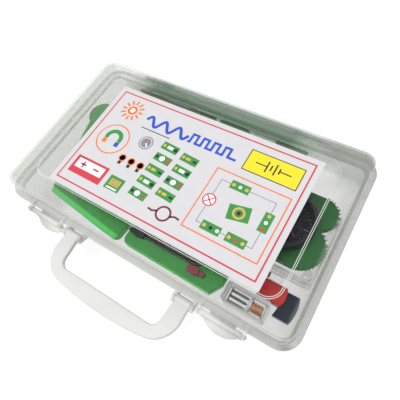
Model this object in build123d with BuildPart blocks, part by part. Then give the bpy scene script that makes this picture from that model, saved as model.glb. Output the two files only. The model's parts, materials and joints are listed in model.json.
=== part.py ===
from build123d import *
from math import atan2, cos, degrees, hypot, pi, radians, sin, sqrt
import os

# A school electricity kit in its carrying case, in millimetres.
# The origin is the centre of the case's underside. X runs along the long side,
# -Y is the front with the handle and the latches, +Y is the hinge side, +Z is up.

# Case shell
CASE_LENGTH = 240.0
CASE_WIDTH = 142.0
CASE_HEIGHT = 40.0
SEAM_HEIGHT = 24.0
CASE_CORNER = 13.0
CASE_WALL = 1.8
CASE_FLOOR = 1.8
LID_TOP_WALL = 1.6
WALL_DRAFT = 3.0
FOOT_ROUND = 2.4
LID_TOP_ROUND = 2.4
FLANGE_WIDTH = 3.2
FLANGE_THICK = 1.8

# Lip of the lid that drops inside the base's rim
LIP_DEPTH = 2.4
LIP_THICK = 1.2
LIP_GAP = 0.3
LIP_RIM = 2.0

# Raised frame on the lid's top, and the card that lies inside it
PANEL_LENGTH = 200.0
PANEL_WIDTH = 103.0
PANEL_CORNER = 10.0
PANEL_RIB_WIDTH = 1.6
PANEL_RIB_HEIGHT = 0.5
CARD_LENGTH = 171.0
CARD_WIDTH = 96.6
CARD_THICK = 0.3
CARD_CORNER = 1.0
CARD_CENTRE = (2.4, -1.5)

# Rear hinge
HINGE_OFFSET = 1.6
HINGE_SPREAD = 70.0
KNUCKLE_RADIUS = 2.6
LID_KNUCKLE_LENGTH = 12.0
BASE_KNUCKLE_LENGTH = 8.0
KNUCKLE_GAP = 0.3
HINGE_PIN_RADIUS = 1.0
RUNNING_GAP = 0.05
SEAT_GAP = 0.02

# Carrying handle
HANDLE_OFFSET = 3.5
HANDLE_DROP = 2.5
HANDLE_HALF_WIDTH = 53.5
HANDLE_LEG_WIDTH = 11.0
HANDLE_THICK = 4.0
HANDLE_REACH = 33.6
HANDLE_GRIP_DEPTH = 11.6
HANDLE_BOW = 6.0
HANDLE_HUB_RADIUS = 3.0
HANDLE_STUB_RADIUS = 1.5
HANDLE_INNER_CORNER = 6.0
HANDLE_EDGE = 1.0
HANDLE_BEND = 19.5
HANDLE_LEG_LEAN = 1.5
EAR_THICK = 2.2
EAR_RADIUS = 3.4
EAR_GAP = 0.3

# Snap latches
LATCH_CENTRE_X = 75.0
LATCH_WIDTH = 28.6
LATCH_OFFSET = 3.2
LATCH_AXIS_RISE = 1.6
LATCH_HUB_RADIUS = 2.0
LATCH_STUB_RADIUS = 1.1
LATCH_STUB_REACH = 3.2
LATCH_EAR_THICK = 2.2
LATCH_EAR_RADIUS = 2.2
LATCH_PLATE = 1.8
LATCH_DROP = 6.8
LATCH_FLARE_RADIUS = 3.8
LATCH_LIP_REACH = 6.4
LATCH_LIP_BOW = 19.3
LATCH_HOOK_WIDTH = 18.0
LATCH_HOOK_GAP = 0.25
LATCH_HOOK_THICK = 1.6
LATCH_HOOK_BITE = 1.7

# Boards of the experiment modules
BOARD_WIDTH = 40.0
BOARD_THICK = 6.0
BOARD_CORNER = 5.0
BOARD_EDGE = 0.8
BOARD_NOSE = (5.0, 9.0)
SWITCH_BOARD_WIDTH = 36.0
SWITCH_ROW_Y = -1.0
SWITCH_ROW_INSET = 38.0
SWITCH_ROW_GAP = 3.0

# The lamp boards: their ends from the side walls, the gap between them, and by side
# the distance of the middle from the front wall and the turn
LAMP_ROW_INSETS = (31.4, 48.4)
LAMP_ROW_GAP = 2.2
LAMP_PLACES = {"left": (25.8, -6.6), "right": (22.8, -1.0)}

# Screw terminals and contact strips
TERMINAL_STEM_RADIUS = 1.4
TERMINAL_HEIGHT = 9.0
TERMINAL_NUT_RADIUS = 3.4
TERMINAL_NUT_HEIGHT = 4.0
TERMINAL_NUT_SIDES = 12
TERMINAL_INSET = 8.0
STRIP_THICK = 0.5
STRIP_WIDTH = 4.0

# Lamp holder and its bulb
SOCKET_RADIUS = 6.4
SOCKET_HEIGHT = 9.0
SOCKET_BASE_RADIUS = 8.5
SOCKET_BASE_HEIGHT = 3.0
BULB_CAP_RADIUS = 4.8
BULB_CAP_HEIGHT = 8.0
BULB_RADIUS = 5.6
BULB_NECK_STEP = 0.8
BULB_NECK_SWELL = 0.3
BULB_LENGTH = 14.9
LAMP_BOARD_TOP = 32.0

# Knife switch
BLADE_LENGTH = 16.0
BLADE_HEIGHT = 7.0
BLADE_WIDTH = 5.0
BLADE_THICK = 1.0
BLADE_PIVOT_RADIUS = 0.9
CHEEK_THICK = 1.2
CHEEK_GAP = 0.3
FORK_FOOT = 5.0
JAW_WIDTH = 4.0
KNOB_RADIUS = 2.6
KNOB_LENGTH = 6.5
KNOB_TAPER = 4.0
KNOB_END_ROUND = 1.2
RIVET_RADIUS = 1.5
RIVET_HEIGHT = 0.4
SWITCH_POST_INSET = 14.0

# Battery holders along the back wall
TRAY_LENGTH = 74.0
TRAY_WIDTH = 22.0
TRAY_HEIGHT = 19.0
TRAY_WALL = 2.0
CELL_LENGTH = 51.0
CELL_RADIUS = 7.4
TRAY_SPACING = 78.0
TRAY_ROW_X = -5.0
TRAY_WALL_GAP = 2.8
TRAY_WINDOW = 24.0
TRAY_CONTACT_ROOM = 1.6
CONTACT_THICK = 0.5
CONTACT_WIDTH = 7.0
CONTACT_NUT = 2.6
CONTACT_NUT_RADIUS = 3.0
CONTACT_LAND_INSET = 1.5
TONGUE_WIDTH = 4.0
TONGUE_RISE = 3.0
TONGUE_BOW = 1.0

# Motor model on its lobed base
MOTOR_TOP = 24.0
MOTOR_BASE_THICK = 5.0
MOTOR_PLATE = 2.0
MOTOR_SKIRT = 1.8
MOTOR_INSET = 44.0
MOTOR_Y = 4.4
MOTOR_HALF_DEPTH = 27.0
BACK_LOBE = (26.0, 14.6, 12.4)
FRONT_LOBE = (24.0, -10.9, 16.0)
BACK_RIB_SPAN = (-28.0, 88.0)
FRONT_RIB_SPAN = (-86.0, 22.0)
RIB_REACH = 0.5
RIB_PITCH = 1.7
ROTOR_X = -26.0
ROTOR_HEIGHT = 7.0
ROTOR_CORE_LENGTH = 14.0
ROTOR_CORE_RADIUS = 4.2
ROTOR_COIL_RADIUS = 5.2
SHAFT_RADIUS = 0.8
SHAFT_LENGTH = 36.0
BEARING_THICK = 2.4
BEARING_SPREAD = 16.0
COMMUTATOR_RADIUS = 2.0
COMMUTATOR_LENGTH = 4.0
BRUSH_THICK = 0.5
BRUSH_WIDTH = 3.0
BRUSH_FOOT = 4.0
BRUSH_OVER = 2.0
BEARING_FOOT = 6.0
POLE_NECK = 3.2
POLE_HEIGHT = 3.2
WINDING_OVERHANG = 2.4
COMMUTATOR_START = 10.4
SLEEVE_RADIUS = 1.2
COLLAR_RADIUS = 1.8
COLLAR_THICK = 0.8
COMMUTATOR_SLIT = 0.6

# Loose magnets of the motor
MAGNET_LENGTH = 18.0
MAGNET_DEPTH = 12.8
MAGNET_THICK = 6.2
MAGNET_BOW = 1.6
MAGNET_HOLLOW = 1.2
MAGNET_EDGE = 0.5

# Middles of the two magnets from the right wall and the front wall
BLUE_MAGNET_INSET = (10.2, 23.0)
RED_MAGNET_INSET = (22.0, 26.0)

# Compass on the motor base, from the base's middle
COMPASS_OFFSET = (9.7, -1.4)
COMPASS_RADIUS = 20.0
COMPASS_HEIGHT = 10.0
COMPASS_WALL = 1.8
COMPASS_FLOOR = 1.6
COMPASS_DIAL_THICK = 0.5
COMPASS_GLASS_THICK = 1.2
COMPASS_GLASS_DROP = 0.6
COMPASS_FOOT_STEP = 1.0
COMPASS_BEVEL = 0.8
COMPASS_LEDGE = 0.8
NEEDLE_GAP = 1.4
PIVOT_PIN_RADIUS = 0.6
NEEDLE_LENGTH = 14.5
NEEDLE_WIDTH = 3.4
NEEDLE_THICK = 0.5
NEEDLE_TURN = -44.0
NEEDLE_CAP_RADIUS = 1.9
PIVOT_RADIUS = 1.1

# Electromagnet under its two-lobed base
COIL_LOBE_INSETS = (29.0, 17.5)
COIL_LOBE_ROWS = (-26.0, 23.0)
COIL_BASE_TOP = 24.0
COIL_LOBE_RADIUS = 11.5
COIL_WAIST = 15.0
COIL_WAIST_ROUND = 8.0
COIL_AXIS_DROP = 14.4
COIL_WIRE = 1.5
COIL_PITCH = 2.15
COIL_HALF_TURNS = 17
BOBBIN_RADIUS = 5.0
BOBBIN_FLANGE_RADIUS = 7.2
BOBBIN_FLANGE_THICK = 1.6
BOBBIN_HALF_LENGTH = 12.4
IRON_CORE_RADIUS = 2.6
IRON_CORE_OVERHANG = 5.0
BRACKET_THICK = 3.0
BRACKET_WIDTH = 9.0
IRON_CORE_EDGE = 0.5
COIL_RIB_SPAN = (-128.0, 128.0)

# Clear box of small parts under the motor base
PARTS_BOX_LENGTH = 49.2
PARTS_BOX_WALL_GAP = 2.6
PARTS_BOX_BOARD_GAP = 1.2
PARTS_BOX_ROWS = (-25.6, 25.0)
PARTS_BOX_WALL = 1.4
PARTS_BOX_CORNER = 5.0
PARTS_BOX_POST = 3.0
SPARE_BULB_INSET = 22.8
SPARE_BULB_GAP = 0.5
SPARE_BULB_RADIUS = 2.7
SPARE_BULB_LENGTH = 9.0
SPARE_CAP_RADIUS = 2.2
SPARE_CAP_LENGTH = 5.0
SPARE_TIP = 1.0

# Clear box with nails and a reel of copper wire at the front
WIRE_BOX_INSETS = (49.0, 19.0)
WIRE_BOX_WALL_GAP = 5.4
WIRE_BOX_DEPTH = 13.4
WIRE_BOX_HEIGHT = 17.0
WIRE_BOX_WALL = 1.1
WIRE_BOX_CORNER = 2.5
WIRE_BOX_DIVIDER = 17.0
REEL_INSET = 22.9
REEL_LENGTH = 10.2
REEL_FLANGE_RADIUS = 5.2
REEL_FLANGE_THICK = 0.9
REEL_CORE_RADIUS = 2.6
REEL_BORE_RADIUS = 1.6
REEL_WIRE = 1.0
REEL_PITCH = 1.5
REEL_HALF_TURNS = 9
REEL_TAIL = 2.4
NAIL_RADIUS = 0.9
NAIL_LENGTH = 13.8
NAIL_HEAD_RADIUS = 1.8
NAIL_HEAD_THICK = 0.6
NAIL_POINT = 2.0
NAIL_INSET = 2.4
NAIL_SPACING = 3.7
NAIL_COUNT = 3

# Leads
LEAD_WIRE = 1.8
LEAD_PITCH = 2.9
LEAD_RISE = 2.6
LEAD_OUTER_RADIUS = 10.0
LEAD_LAYER_HALF_TURNS = 4
LEAD_STRAIGHT = 33.0
LEAD_LOW_TAIL = 4.0
LEAD_HIGH_TAIL = 8.0
LEAD_FALL = 0.7
LEAD_REST_GAP = 0.1
RED_LEAD_SHIFT = -1.6
RED_LEAD_RISE = 0.7
BLACK_LEAD_SHIFT = (-3.6, 0.6)
CLIP_SLEEVE = ((4.0, 1.9), (6.5, 2.5), (10.0, 2.2), (12.0, 1.6))
CLIP_SLEEVE_THICK = 3.0
CLIP_JAW_THICK = 0.5
CLIP_JAW_GAP = 0.8
CLIP_JAW_TIP = 1.1
CLIP_JAW_ROOT = 1.7
CLIP_TEETH = 3
CLIP_TOOTH = 0.4
SPARE_CLIP_SHIFT = (24.4, -12.8)

os.makedirs("parts", exist_ok=True)

# Places worked out from the sizes above
rim_length = CASE_LENGTH - 2 * FLANGE_WIDTH
rim_width = CASE_WIDTH - 2 * FLANGE_WIDTH
rim_corner = CASE_CORNER - FLANGE_WIDTH
cavity_length = rim_length - 2 * CASE_WALL
cavity_width = rim_width - 2 * CASE_WALL
cavity_corner = rim_corner - CASE_WALL
lid_plane_height = CASE_HEIGHT - PANEL_RIB_HEIGHT
hinge_y = CASE_WIDTH / 2 + HINGE_OFFSET
handle_y = -CASE_WIDTH / 2 - HANDLE_OFFSET
latch_y = -CASE_WIDTH / 2 - LATCH_OFFSET
latch_z = SEAM_HEIGHT + LATCH_AXIS_RISE
handle_z = SEAM_HEIGHT - HANDLE_DROP
notch_y = hinge_y - KNUCKLE_RADIUS - 2 * KNUCKLE_GAP
side_wall = cavity_length / 2
front_wall = -cavity_width / 2
back_wall = cavity_width / 2
motor_middle = (side_wall - MOTOR_INSET, MOTOR_Y)
parts_box_high = (side_wall - PARTS_BOX_WALL_GAP, PARTS_BOX_ROWS[1])
parts_box_low = (parts_box_high[0] - PARTS_BOX_LENGTH, PARTS_BOX_ROWS[0])
wire_box_low = (side_wall - WIRE_BOX_INSETS[0], front_wall + WIRE_BOX_WALL_GAP)
wire_box_high = (side_wall - WIRE_BOX_INSETS[1], wire_box_low[1] + WIRE_BOX_DEPTH)
switch_row_start = -side_wall + SWITCH_ROW_INSET
switch_row_end = parts_box_low[0] - PARTS_BOX_BOARD_GAP
switch_board_length = (switch_row_end - switch_row_start - SWITCH_ROW_GAP) / 2
lamp_row_start = -side_wall + LAMP_ROW_INSETS[0]
lamp_row_end = side_wall - LAMP_ROW_INSETS[1]
lamp_board_length = (lamp_row_end - lamp_row_start - LAMP_ROW_GAP) / 2
tray_row_y = back_wall - TRAY_WALL_GAP - TRAY_WIDTH / 2


def save(piece, name):
    """Label a finished piece and write it to its own file."""
    piece.part.label = name
    export_step(piece.part, f"parts/{name}.step")


def upright(x, y, z, turn=0.0):
    """The plane of something that lies face up, turned about the vertical."""
    direction = (cos(radians(turn)), sin(radians(turn)), 0)
    return Plane(origin=(x, y, z), x_dir=direction, z_dir=(0, 0, 1))


def face_down(x, y, z, turn=0.0):
    """The plane of something that lies face down, with its back at height z."""
    direction = (cos(radians(turn)), sin(radians(turn)), 0)
    return Plane(origin=(x, y, z), x_dir=direction, z_dir=(0, 0, -1))


def across(plane, x=0.0):
    """A plane square to a module's length: its sketches are in (y, z)."""
    return Plane(origin=plane.from_local_coords((x, 0, 0)), x_dir=plane.y_dir, z_dir=plane.x_dir)


def along(plane, y=0.0):
    """A plane along a module's length: its sketches are in (x, z), and it looks to -y."""
    return Plane(origin=plane.from_local_coords((0, y, 0)), x_dir=plane.x_dir, z_dir=-plane.y_dir)


def rounded_block(low, high, radius):
    """A rounded rectangle between two corners, in the current sketch."""
    with Locations(((low[0] + high[0]) / 2, (low[1] + high[1]) / 2)):
        RectangleRounded(high[0] - low[0], high[1] - low[1], radius)


# Case

def knuckle_spans(lid_side):
    """The X intervals of the hinge knuckles that belong to the lid or to the base."""
    half = LID_KNUCKLE_LENGTH / 2
    for centre in (-HINGE_SPREAD, HINGE_SPREAD):
        if lid_side:
            yield centre - half, centre + half
        else:
            start = half + KNUCKLE_GAP
            yield centre + start, centre + start + BASE_KNUCKLE_LENGTH
            yield centre - start - BASE_KNUCKLE_LENGTH, centre - start


def knuckle_profile(bore, rise):
    """A knuckle about the hinge line with its web to the wall, in (y, z)."""
    web = hinge_y - rim_width / 2 + CASE_WALL / 2
    with Locations((hinge_y, SEAM_HEIGHT)):
        Circle(KNUCKLE_RADIUS)
    with Locations((hinge_y - web / 2, SEAM_HEIGHT + rise * KNUCKLE_RADIUS / 2)):
        Rectangle(web, KNUCKLE_RADIUS)
    with Locations((hinge_y, SEAM_HEIGHT)):
        Circle(bore, mode=Mode.SUBTRACT)


with BuildPart() as case_base:
    with BuildSketch(Plane.XY.offset(SEAM_HEIGHT)):
        RectangleRounded(rim_length, rim_width, rim_corner)
    extrude(amount=-SEAM_HEIGHT, taper=WALL_DRAFT)
    fillet(case_base.faces().sort_by(Axis.Z)[0].edges(), FOOT_ROUND)
    with BuildSketch(Plane.XY.offset(SEAM_HEIGHT - FLANGE_THICK)):
        RectangleRounded(CASE_LENGTH, CASE_WIDTH, CASE_CORNER)
    extrude(amount=FLANGE_THICK)
    # The lid's knuckles need room in the flange.
    with BuildSketch(Plane.XY.offset(SEAM_HEIGHT - KNUCKLE_RADIUS - KNUCKLE_GAP)):
        for x_low, x_high in knuckle_spans(lid_side=True):
            with Locations(((x_low + x_high) / 2, notch_y + CASE_WALL)):
                Rectangle(x_high - x_low + 2 * KNUCKLE_GAP, 2 * CASE_WALL)
    extrude(amount=KNUCKLE_RADIUS + 2 * KNUCKLE_GAP, mode=Mode.SUBTRACT)
    for x_low, x_high in knuckle_spans(lid_side=False):
        with BuildSketch(Plane.YZ.offset(x_low)):
            knuckle_profile(HINGE_PIN_RADIUS + SEAT_GAP, -1)
        extrude(amount=x_high - x_low)
    # Ears that carry the handle's stub pins
    outer_face = HANDLE_HALF_WIDTH + EAR_GAP
    inner_face = HANDLE_HALF_WIDTH - HANDLE_LEG_WIDTH - EAR_GAP - EAR_THICK
    for x_low in (outer_face, inner_face, -outer_face - EAR_THICK, -inner_face - EAR_THICK):
        with BuildSketch(Plane.YZ.offset(x_low)):
            with BuildLine():
                Polyline(
                    (handle_y, handle_z + EAR_RADIUS),
                    (-CASE_WIDTH / 2 - EAR_GAP, SEAM_HEIGHT),
                    (-rim_width / 2 + CASE_WALL / 2, SEAM_HEIGHT),
                    (-rim_width / 2 + CASE_WALL, SEAM_HEIGHT - 3 * EAR_RADIUS),
                    (handle_y, handle_z - EAR_RADIUS),
                    close=True,
                )
            make_face()
            with Locations((handle_y, handle_z)):
                Circle(EAR_RADIUS)
                Circle(HANDLE_STUB_RADIUS + RUNNING_GAP, mode=Mode.SUBTRACT)
        extrude(amount=EAR_THICK)
    with BuildSketch(Plane.XY.offset(SEAM_HEIGHT)):
        RectangleRounded(cavity_length, cavity_width, cavity_corner)
    extrude(amount=-(SEAM_HEIGHT - CASE_FLOOR), taper=WALL_DRAFT, mode=Mode.SUBTRACT)
save(case_base, "case_base")

with BuildPart() as case_lid:
    with BuildSketch(Plane.XY.offset(SEAM_HEIGHT)):
        RectangleRounded(rim_length, rim_width, rim_corner)
    extrude(amount=lid_plane_height - SEAM_HEIGHT, taper=WALL_DRAFT)
    fillet(case_lid.faces().sort_by(Axis.Z)[-1].edges(), LID_TOP_ROUND)
    with BuildSketch(Plane.XY.offset(SEAM_HEIGHT)):
        RectangleRounded(CASE_LENGTH, CASE_WIDTH, CASE_CORNER)
    extrude(amount=FLANGE_THICK)
    with BuildSketch(Plane.XY.offset(SEAM_HEIGHT)):
        for x_low, x_high in knuckle_spans(lid_side=False):
            with Locations(((x_low + x_high) / 2, notch_y + CASE_WALL)):
                Rectangle(x_high - x_low + 2 * KNUCKLE_GAP, 2 * CASE_WALL)
    extrude(amount=KNUCKLE_RADIUS + KNUCKLE_GAP, mode=Mode.SUBTRACT)
    for x_low, x_high in knuckle_spans(lid_side=True):
        with BuildSketch(Plane.YZ.offset(x_low)):
            knuckle_profile(HINGE_PIN_RADIUS + RUNNING_GAP, 1)
        extrude(amount=x_high - x_low)
    # Ears for the two latches
    for centre in (-LATCH_CENTRE_X, LATCH_CENTRE_X):
        for side in (-1, 1):
            x_low = centre + side * (LATCH_WIDTH / 2 + EAR_GAP)
            if side < 0:
                x_low -= LATCH_EAR_THICK
            with BuildSketch(Plane.YZ.offset(x_low)):
                web = -rim_width / 2 + CASE_WALL / 2 - latch_y
                with Locations((latch_y + web / 2, (SEAM_HEIGHT + latch_z + LATCH_EAR_RADIUS) / 2)):
                    Rectangle(web, latch_z + LATCH_EAR_RADIUS - SEAM_HEIGHT)
                with Locations((latch_y, latch_z)):
                    Circle(LATCH_EAR_RADIUS)
                    Circle(LATCH_STUB_RADIUS + RUNNING_GAP, mode=Mode.SUBTRACT)
            extrude(amount=LATCH_EAR_THICK)
    # The lip, then the space inside it and inside the walls
    lip_length = cavity_length - 2 * LIP_GAP
    lip_width = cavity_width - 2 * LIP_GAP
    lip_corner = cavity_corner - LIP_GAP
    with BuildSketch(Plane.XY.offset(SEAM_HEIGHT + LIP_RIM)):
        RectangleRounded(cavity_length, cavity_width, cavity_corner)
    extrude(amount=lid_plane_height - LID_TOP_WALL - SEAM_HEIGHT - LIP_RIM, taper=WALL_DRAFT,
            mode=Mode.SUBTRACT)
    with BuildSketch(Plane.XY.offset(SEAM_HEIGHT - LIP_DEPTH)):
        RectangleRounded(lip_length, lip_width, lip_corner)
    extrude(amount=LIP_DEPTH)
    with BuildSketch(Plane.XY.offset(SEAM_HEIGHT - LIP_DEPTH)):
        RectangleRounded(lip_length - 2 * LIP_THICK, lip_width - 2 * LIP_THICK, lip_corner - LIP_THICK)
    extrude(amount=LIP_DEPTH + LIP_RIM, mode=Mode.SUBTRACT)
    # The raised frame round the card
    with BuildSketch(Plane.XY.offset(lid_plane_height)):
        RectangleRounded(PANEL_LENGTH, PANEL_WIDTH, PANEL_CORNER)
        RectangleRounded(PANEL_LENGTH - 2 * PANEL_RIB_WIDTH, PANEL_WIDTH - 2 * PANEL_RIB_WIDTH,
                         PANEL_CORNER - PANEL_RIB_WIDTH, mode=Mode.SUBTRACT)
    extrude(amount=PANEL_RIB_HEIGHT)
save(case_lid, "case_lid")

with BuildPart() as lid_hinge_pins:
    pin_length = LID_KNUCKLE_LENGTH + 2 * (KNUCKLE_GAP + BASE_KNUCKLE_LENGTH)
    for centre in (-HINGE_SPREAD, HINGE_SPREAD):
        with BuildSketch(Plane.YZ.offset(centre - pin_length / 2)):
            with Locations((hinge_y, SEAM_HEIGHT)):
                Circle(HINGE_PIN_RADIUS)
        extrude(amount=pin_length)
save(lid_hinge_pins, "lid_hinge_pins")

with BuildPart() as label_card:
    with BuildSketch(Plane.XY.offset(lid_plane_height)):
        with Locations(CARD_CENTRE):
            RectangleRounded(CARD_LENGTH, CARD_WIDTH, CARD_CORNER)
    extrude(amount=CARD_THICK)
save(label_card, "label_card")


def latch(centre, name):
    """A snap latch: hub, plate with a flared half-moon lip, hook and stub pins."""
    x_low = centre - LATCH_WIDTH / 2
    plate_in = latch_y + LATCH_PLATE / 2
    plate_out = latch_y - LATCH_PLATE / 2
    turn_z = latch_z - LATCH_DROP
    flare_y = plate_out - LATCH_FLARE_RADIUS
    lip_y = latch_y - LATCH_LIP_REACH
    outer_r = LATCH_FLARE_RADIUS
    inner_r = LATCH_FLARE_RADIUS + LATCH_PLATE
    with BuildPart() as piece:
        with BuildSketch(Plane.YZ.offset(x_low)):
            with BuildLine():
                Line((plate_in, latch_z), (plate_in, turn_z))
                ThreePointArc((plate_in, turn_z),
                              (flare_y + inner_r * sqrt(0.5), turn_z - inner_r * sqrt(0.5)),
                              (flare_y, turn_z - inner_r))
                Polyline((flare_y, turn_z - inner_r), (lip_y, turn_z - inner_r),
                         (lip_y, turn_z - outer_r), (flare_y, turn_z - outer_r))
                ThreePointArc((flare_y, turn_z - outer_r),
                              (flare_y + outer_r * sqrt(0.5), turn_z - outer_r * sqrt(0.5)),
                              (plate_out, turn_z))
                Polyline((plate_out, turn_z), (plate_out, latch_z), (plate_in, latch_z))
            make_face()
        extrude(amount=LATCH_WIDTH)
        # Seen from above the lip is a half moon.
        with BuildSketch(Plane.XY):
            with Locations((centre, lip_y + LATCH_LIP_BOW)):
                Circle(LATCH_LIP_BOW)
            with Locations((centre, latch_y - LATCH_PLATE + 2 * LATCH_HUB_RADIUS)):
                Rectangle(LATCH_WIDTH, 4 * LATCH_HUB_RADIUS)
        extrude(amount=CASE_HEIGHT, mode=Mode.INTERSECT)
        hook_top = SEAM_HEIGHT - FLANGE_THICK - LATCH_HOOK_GAP
        hook_tip = -CASE_WIDTH / 2 + LATCH_HOOK_BITE
        with BuildSketch(Plane.YZ.offset(centre - LATCH_HOOK_WIDTH / 2)):
            with BuildLine():
                Polyline((latch_y, hook_top), (hook_tip, hook_top),
                         (hook_tip, hook_top - LATCH_HOOK_THICK / 2),
                         (hook_tip - LATCH_HOOK_THICK / 2, hook_top - LATCH_HOOK_THICK),
                         (latch_y, hook_top - LATCH_HOOK_THICK), close=True)
            make_face()
        extrude(amount=LATCH_HOOK_WIDTH)
        with BuildSketch(Plane.YZ.offset(x_low)):
            with Locations((latch_y, latch_z)):
                Circle(LATCH_HUB_RADIUS)
        extrude(amount=LATCH_WIDTH)
        with BuildSketch(Plane.YZ.offset(x_low - LATCH_STUB_REACH)):
            with Locations((latch_y, latch_z)):
                Circle(LATCH_STUB_RADIUS)
        extrude(amount=LATCH_WIDTH + 2 * LATCH_STUB_REACH)
    save(piece, name)


latch(-LATCH_CENTRE_X, "latch_left")
latch(LATCH_CENTRE_X, "latch_right")

with BuildPart() as carry_handle:
    outer_x = HANDLE_HALF_WIDTH
    inner_x = HANDLE_HALF_WIDTH - HANDLE_LEG_WIDTH
    reach_y = handle_y - HANDLE_REACH
    corner_y = reach_y + HANDLE_BOW
    inner_y = reach_y + HANDLE_GRIP_DEPTH
    with BuildSketch(Plane.XY.offset(handle_z - HANDLE_THICK / 2)) as handle_plan:
        with BuildLine():
            Line((outer_x, handle_y), (outer_x, corner_y))
            ThreePointArc((outer_x, corner_y), (0, reach_y), (-outer_x, corner_y))
            Polyline((-outer_x, corner_y), (-outer_x, handle_y), (-inner_x, handle_y),
                     (-inner_x + HANDLE_LEG_LEAN, inner_y), (inner_x - HANDLE_LEG_LEAN, inner_y),
                     (inner_x, handle_y), (outer_x, handle_y))
        make_face()
        fillet(handle_plan.vertices().group_by(Axis.Y)[0], HANDLE_BEND)
        fillet(handle_plan.vertices().filter_by_position(Axis.Y, inner_y - 1, inner_y + 1),
               HANDLE_INNER_CORNER)
    extrude(amount=HANDLE_THICK)
    fillet(carry_handle.faces().filter_by(Axis.Z).edges(), HANDLE_EDGE)
    for x_low in (inner_x, -outer_x):
        with BuildSketch(Plane.YZ.offset(x_low)):
            with Locations((handle_y, handle_z)):
                Circle(HANDLE_HUB_RADIUS)
        extrude(amount=HANDLE_LEG_WIDTH)
        with BuildSketch(Plane.YZ.offset(x_low - EAR_GAP - EAR_THICK)):
            with Locations((handle_y, handle_z)):
                Circle(HANDLE_STUB_RADIUS)
        extrude(amount=HANDLE_LEG_WIDTH + 2 * (EAR_GAP + EAR_THICK))
save(carry_handle, "carry_handle")


# Boards of the experiment modules

def board(plane, length, width, name, nose=0):
    """A moulded board on the plane, z 0 to BOARD_THICK, with one tapered end if nose is -1 or 1."""
    with BuildPart() as piece:
        with BuildSketch(plane):
            RectangleRounded(length, width, BOARD_CORNER)
            if nose:
                tip, flank = BOARD_NOSE
                for side in (-1, 1):
                    with BuildLine():
                        Polyline((nose * length / 2, side * width / 2),
                                 (nose * (length / 2 - tip), side * width / 2),
                                 (nose * length / 2, side * (width / 2 - flank)), close=True)
                    make_face(mode=Mode.SUBTRACT)
        extrude(amount=BOARD_THICK)
        chamfer(piece.faces().filter_by(Axis.Z).edges(), BOARD_EDGE)
    save(piece, name)


def terminal(plane, x, y):
    """A binding post: a threaded stem with a round nut, on a board's top."""
    with BuildSketch(plane.offset(BOARD_THICK)) as stem:
        with Locations((x, y)):
            Circle(TERMINAL_STEM_RADIUS)
    extrude(stem.sketch, amount=TERMINAL_HEIGHT)
    with BuildSketch(plane.offset(BOARD_THICK + STRIP_THICK)) as nut:
        with Locations((x, y)):
            RegularPolygon(TERMINAL_NUT_RADIUS, TERMINAL_NUT_SIDES)
    extrude(nut.sketch, amount=TERMINAL_NUT_HEIGHT)


def strip(plane, x_from, x_to, y=0.0):
    """A flat brass strip on a board's top, from a terminal to a contact."""
    with BuildSketch(plane.offset(BOARD_THICK)) as outline:
        with Locations(((x_from + x_to) / 2, y)):
            Rectangle(abs(x_to - x_from), STRIP_WIDTH)
        with Locations((x_from, y)):
            Circle(TERMINAL_NUT_RADIUS)
            Circle(TERMINAL_STEM_RADIUS, mode=Mode.SUBTRACT)
    extrude(outline.sketch, amount=STRIP_THICK)


lamp_end = lamp_board_length / 2 - TERMINAL_INSET
switch_end = switch_board_length / 2 - TERMINAL_INSET
post_x = SWITCH_POST_INSET - switch_board_length / 2
jaw_x = post_x + BLADE_LENGTH - BLADE_WIDTH
lamp_middles = {
    "left": lamp_row_start + lamp_board_length / 2,
    "right": lamp_row_end - lamp_board_length / 2,
}
switch_middles = {
    "left": switch_row_start + switch_board_length / 2,
    "right": switch_row_end - switch_board_length / 2,
}
lamp_planes = {}
switch_planes = {}
for side, (from_front, turn) in LAMP_PLACES.items():
    lamp_planes[side] = face_down(lamp_middles[side], front_wall + from_front, LAMP_BOARD_TOP, turn)
    switch_planes[side] = upright(switch_middles[side], SWITCH_ROW_Y, CASE_FLOOR)


# Lamp holders, stored face down

def lamp_holder(plane, side):
    nose = -1 if side == "left" else 1
    board(plane, lamp_board_length, BOARD_WIDTH, f"lamp_{side}_board", nose)
    with BuildPart() as socket:
        with BuildSketch(plane.offset(BOARD_THICK)):
            Circle(SOCKET_BASE_RADIUS)
        extrude(amount=SOCKET_BASE_HEIGHT)
        with BuildSketch(plane.offset(BOARD_THICK + SOCKET_BASE_HEIGHT)):
            Circle(SOCKET_RADIUS)
        extrude(amount=SOCKET_HEIGHT - SOCKET_BASE_HEIGHT)
        with BuildSketch(plane.offset(BOARD_THICK + SOCKET_HEIGHT - BULB_CAP_HEIGHT)):
            Circle(BULB_CAP_RADIUS + RUNNING_GAP)
        extrude(amount=BULB_CAP_HEIGHT, mode=Mode.SUBTRACT)
    save(socket, f"lamp_{side}_socket")
    cap_low = BOARD_THICK + SOCKET_HEIGHT - BULB_CAP_HEIGHT + SEAT_GAP
    with BuildPart() as cap:
        with BuildSketch(plane.offset(cap_low)):
            Circle(BULB_CAP_RADIUS)
        extrude(amount=BULB_CAP_HEIGHT)
    save(cap, f"lamp_{side}_bulb_cap")
    with BuildPart() as glass:
        bulb(along(plane), cap_low + BULB_CAP_HEIGHT)
    save(glass, f"lamp_{side}_bulb_glass")


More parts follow.
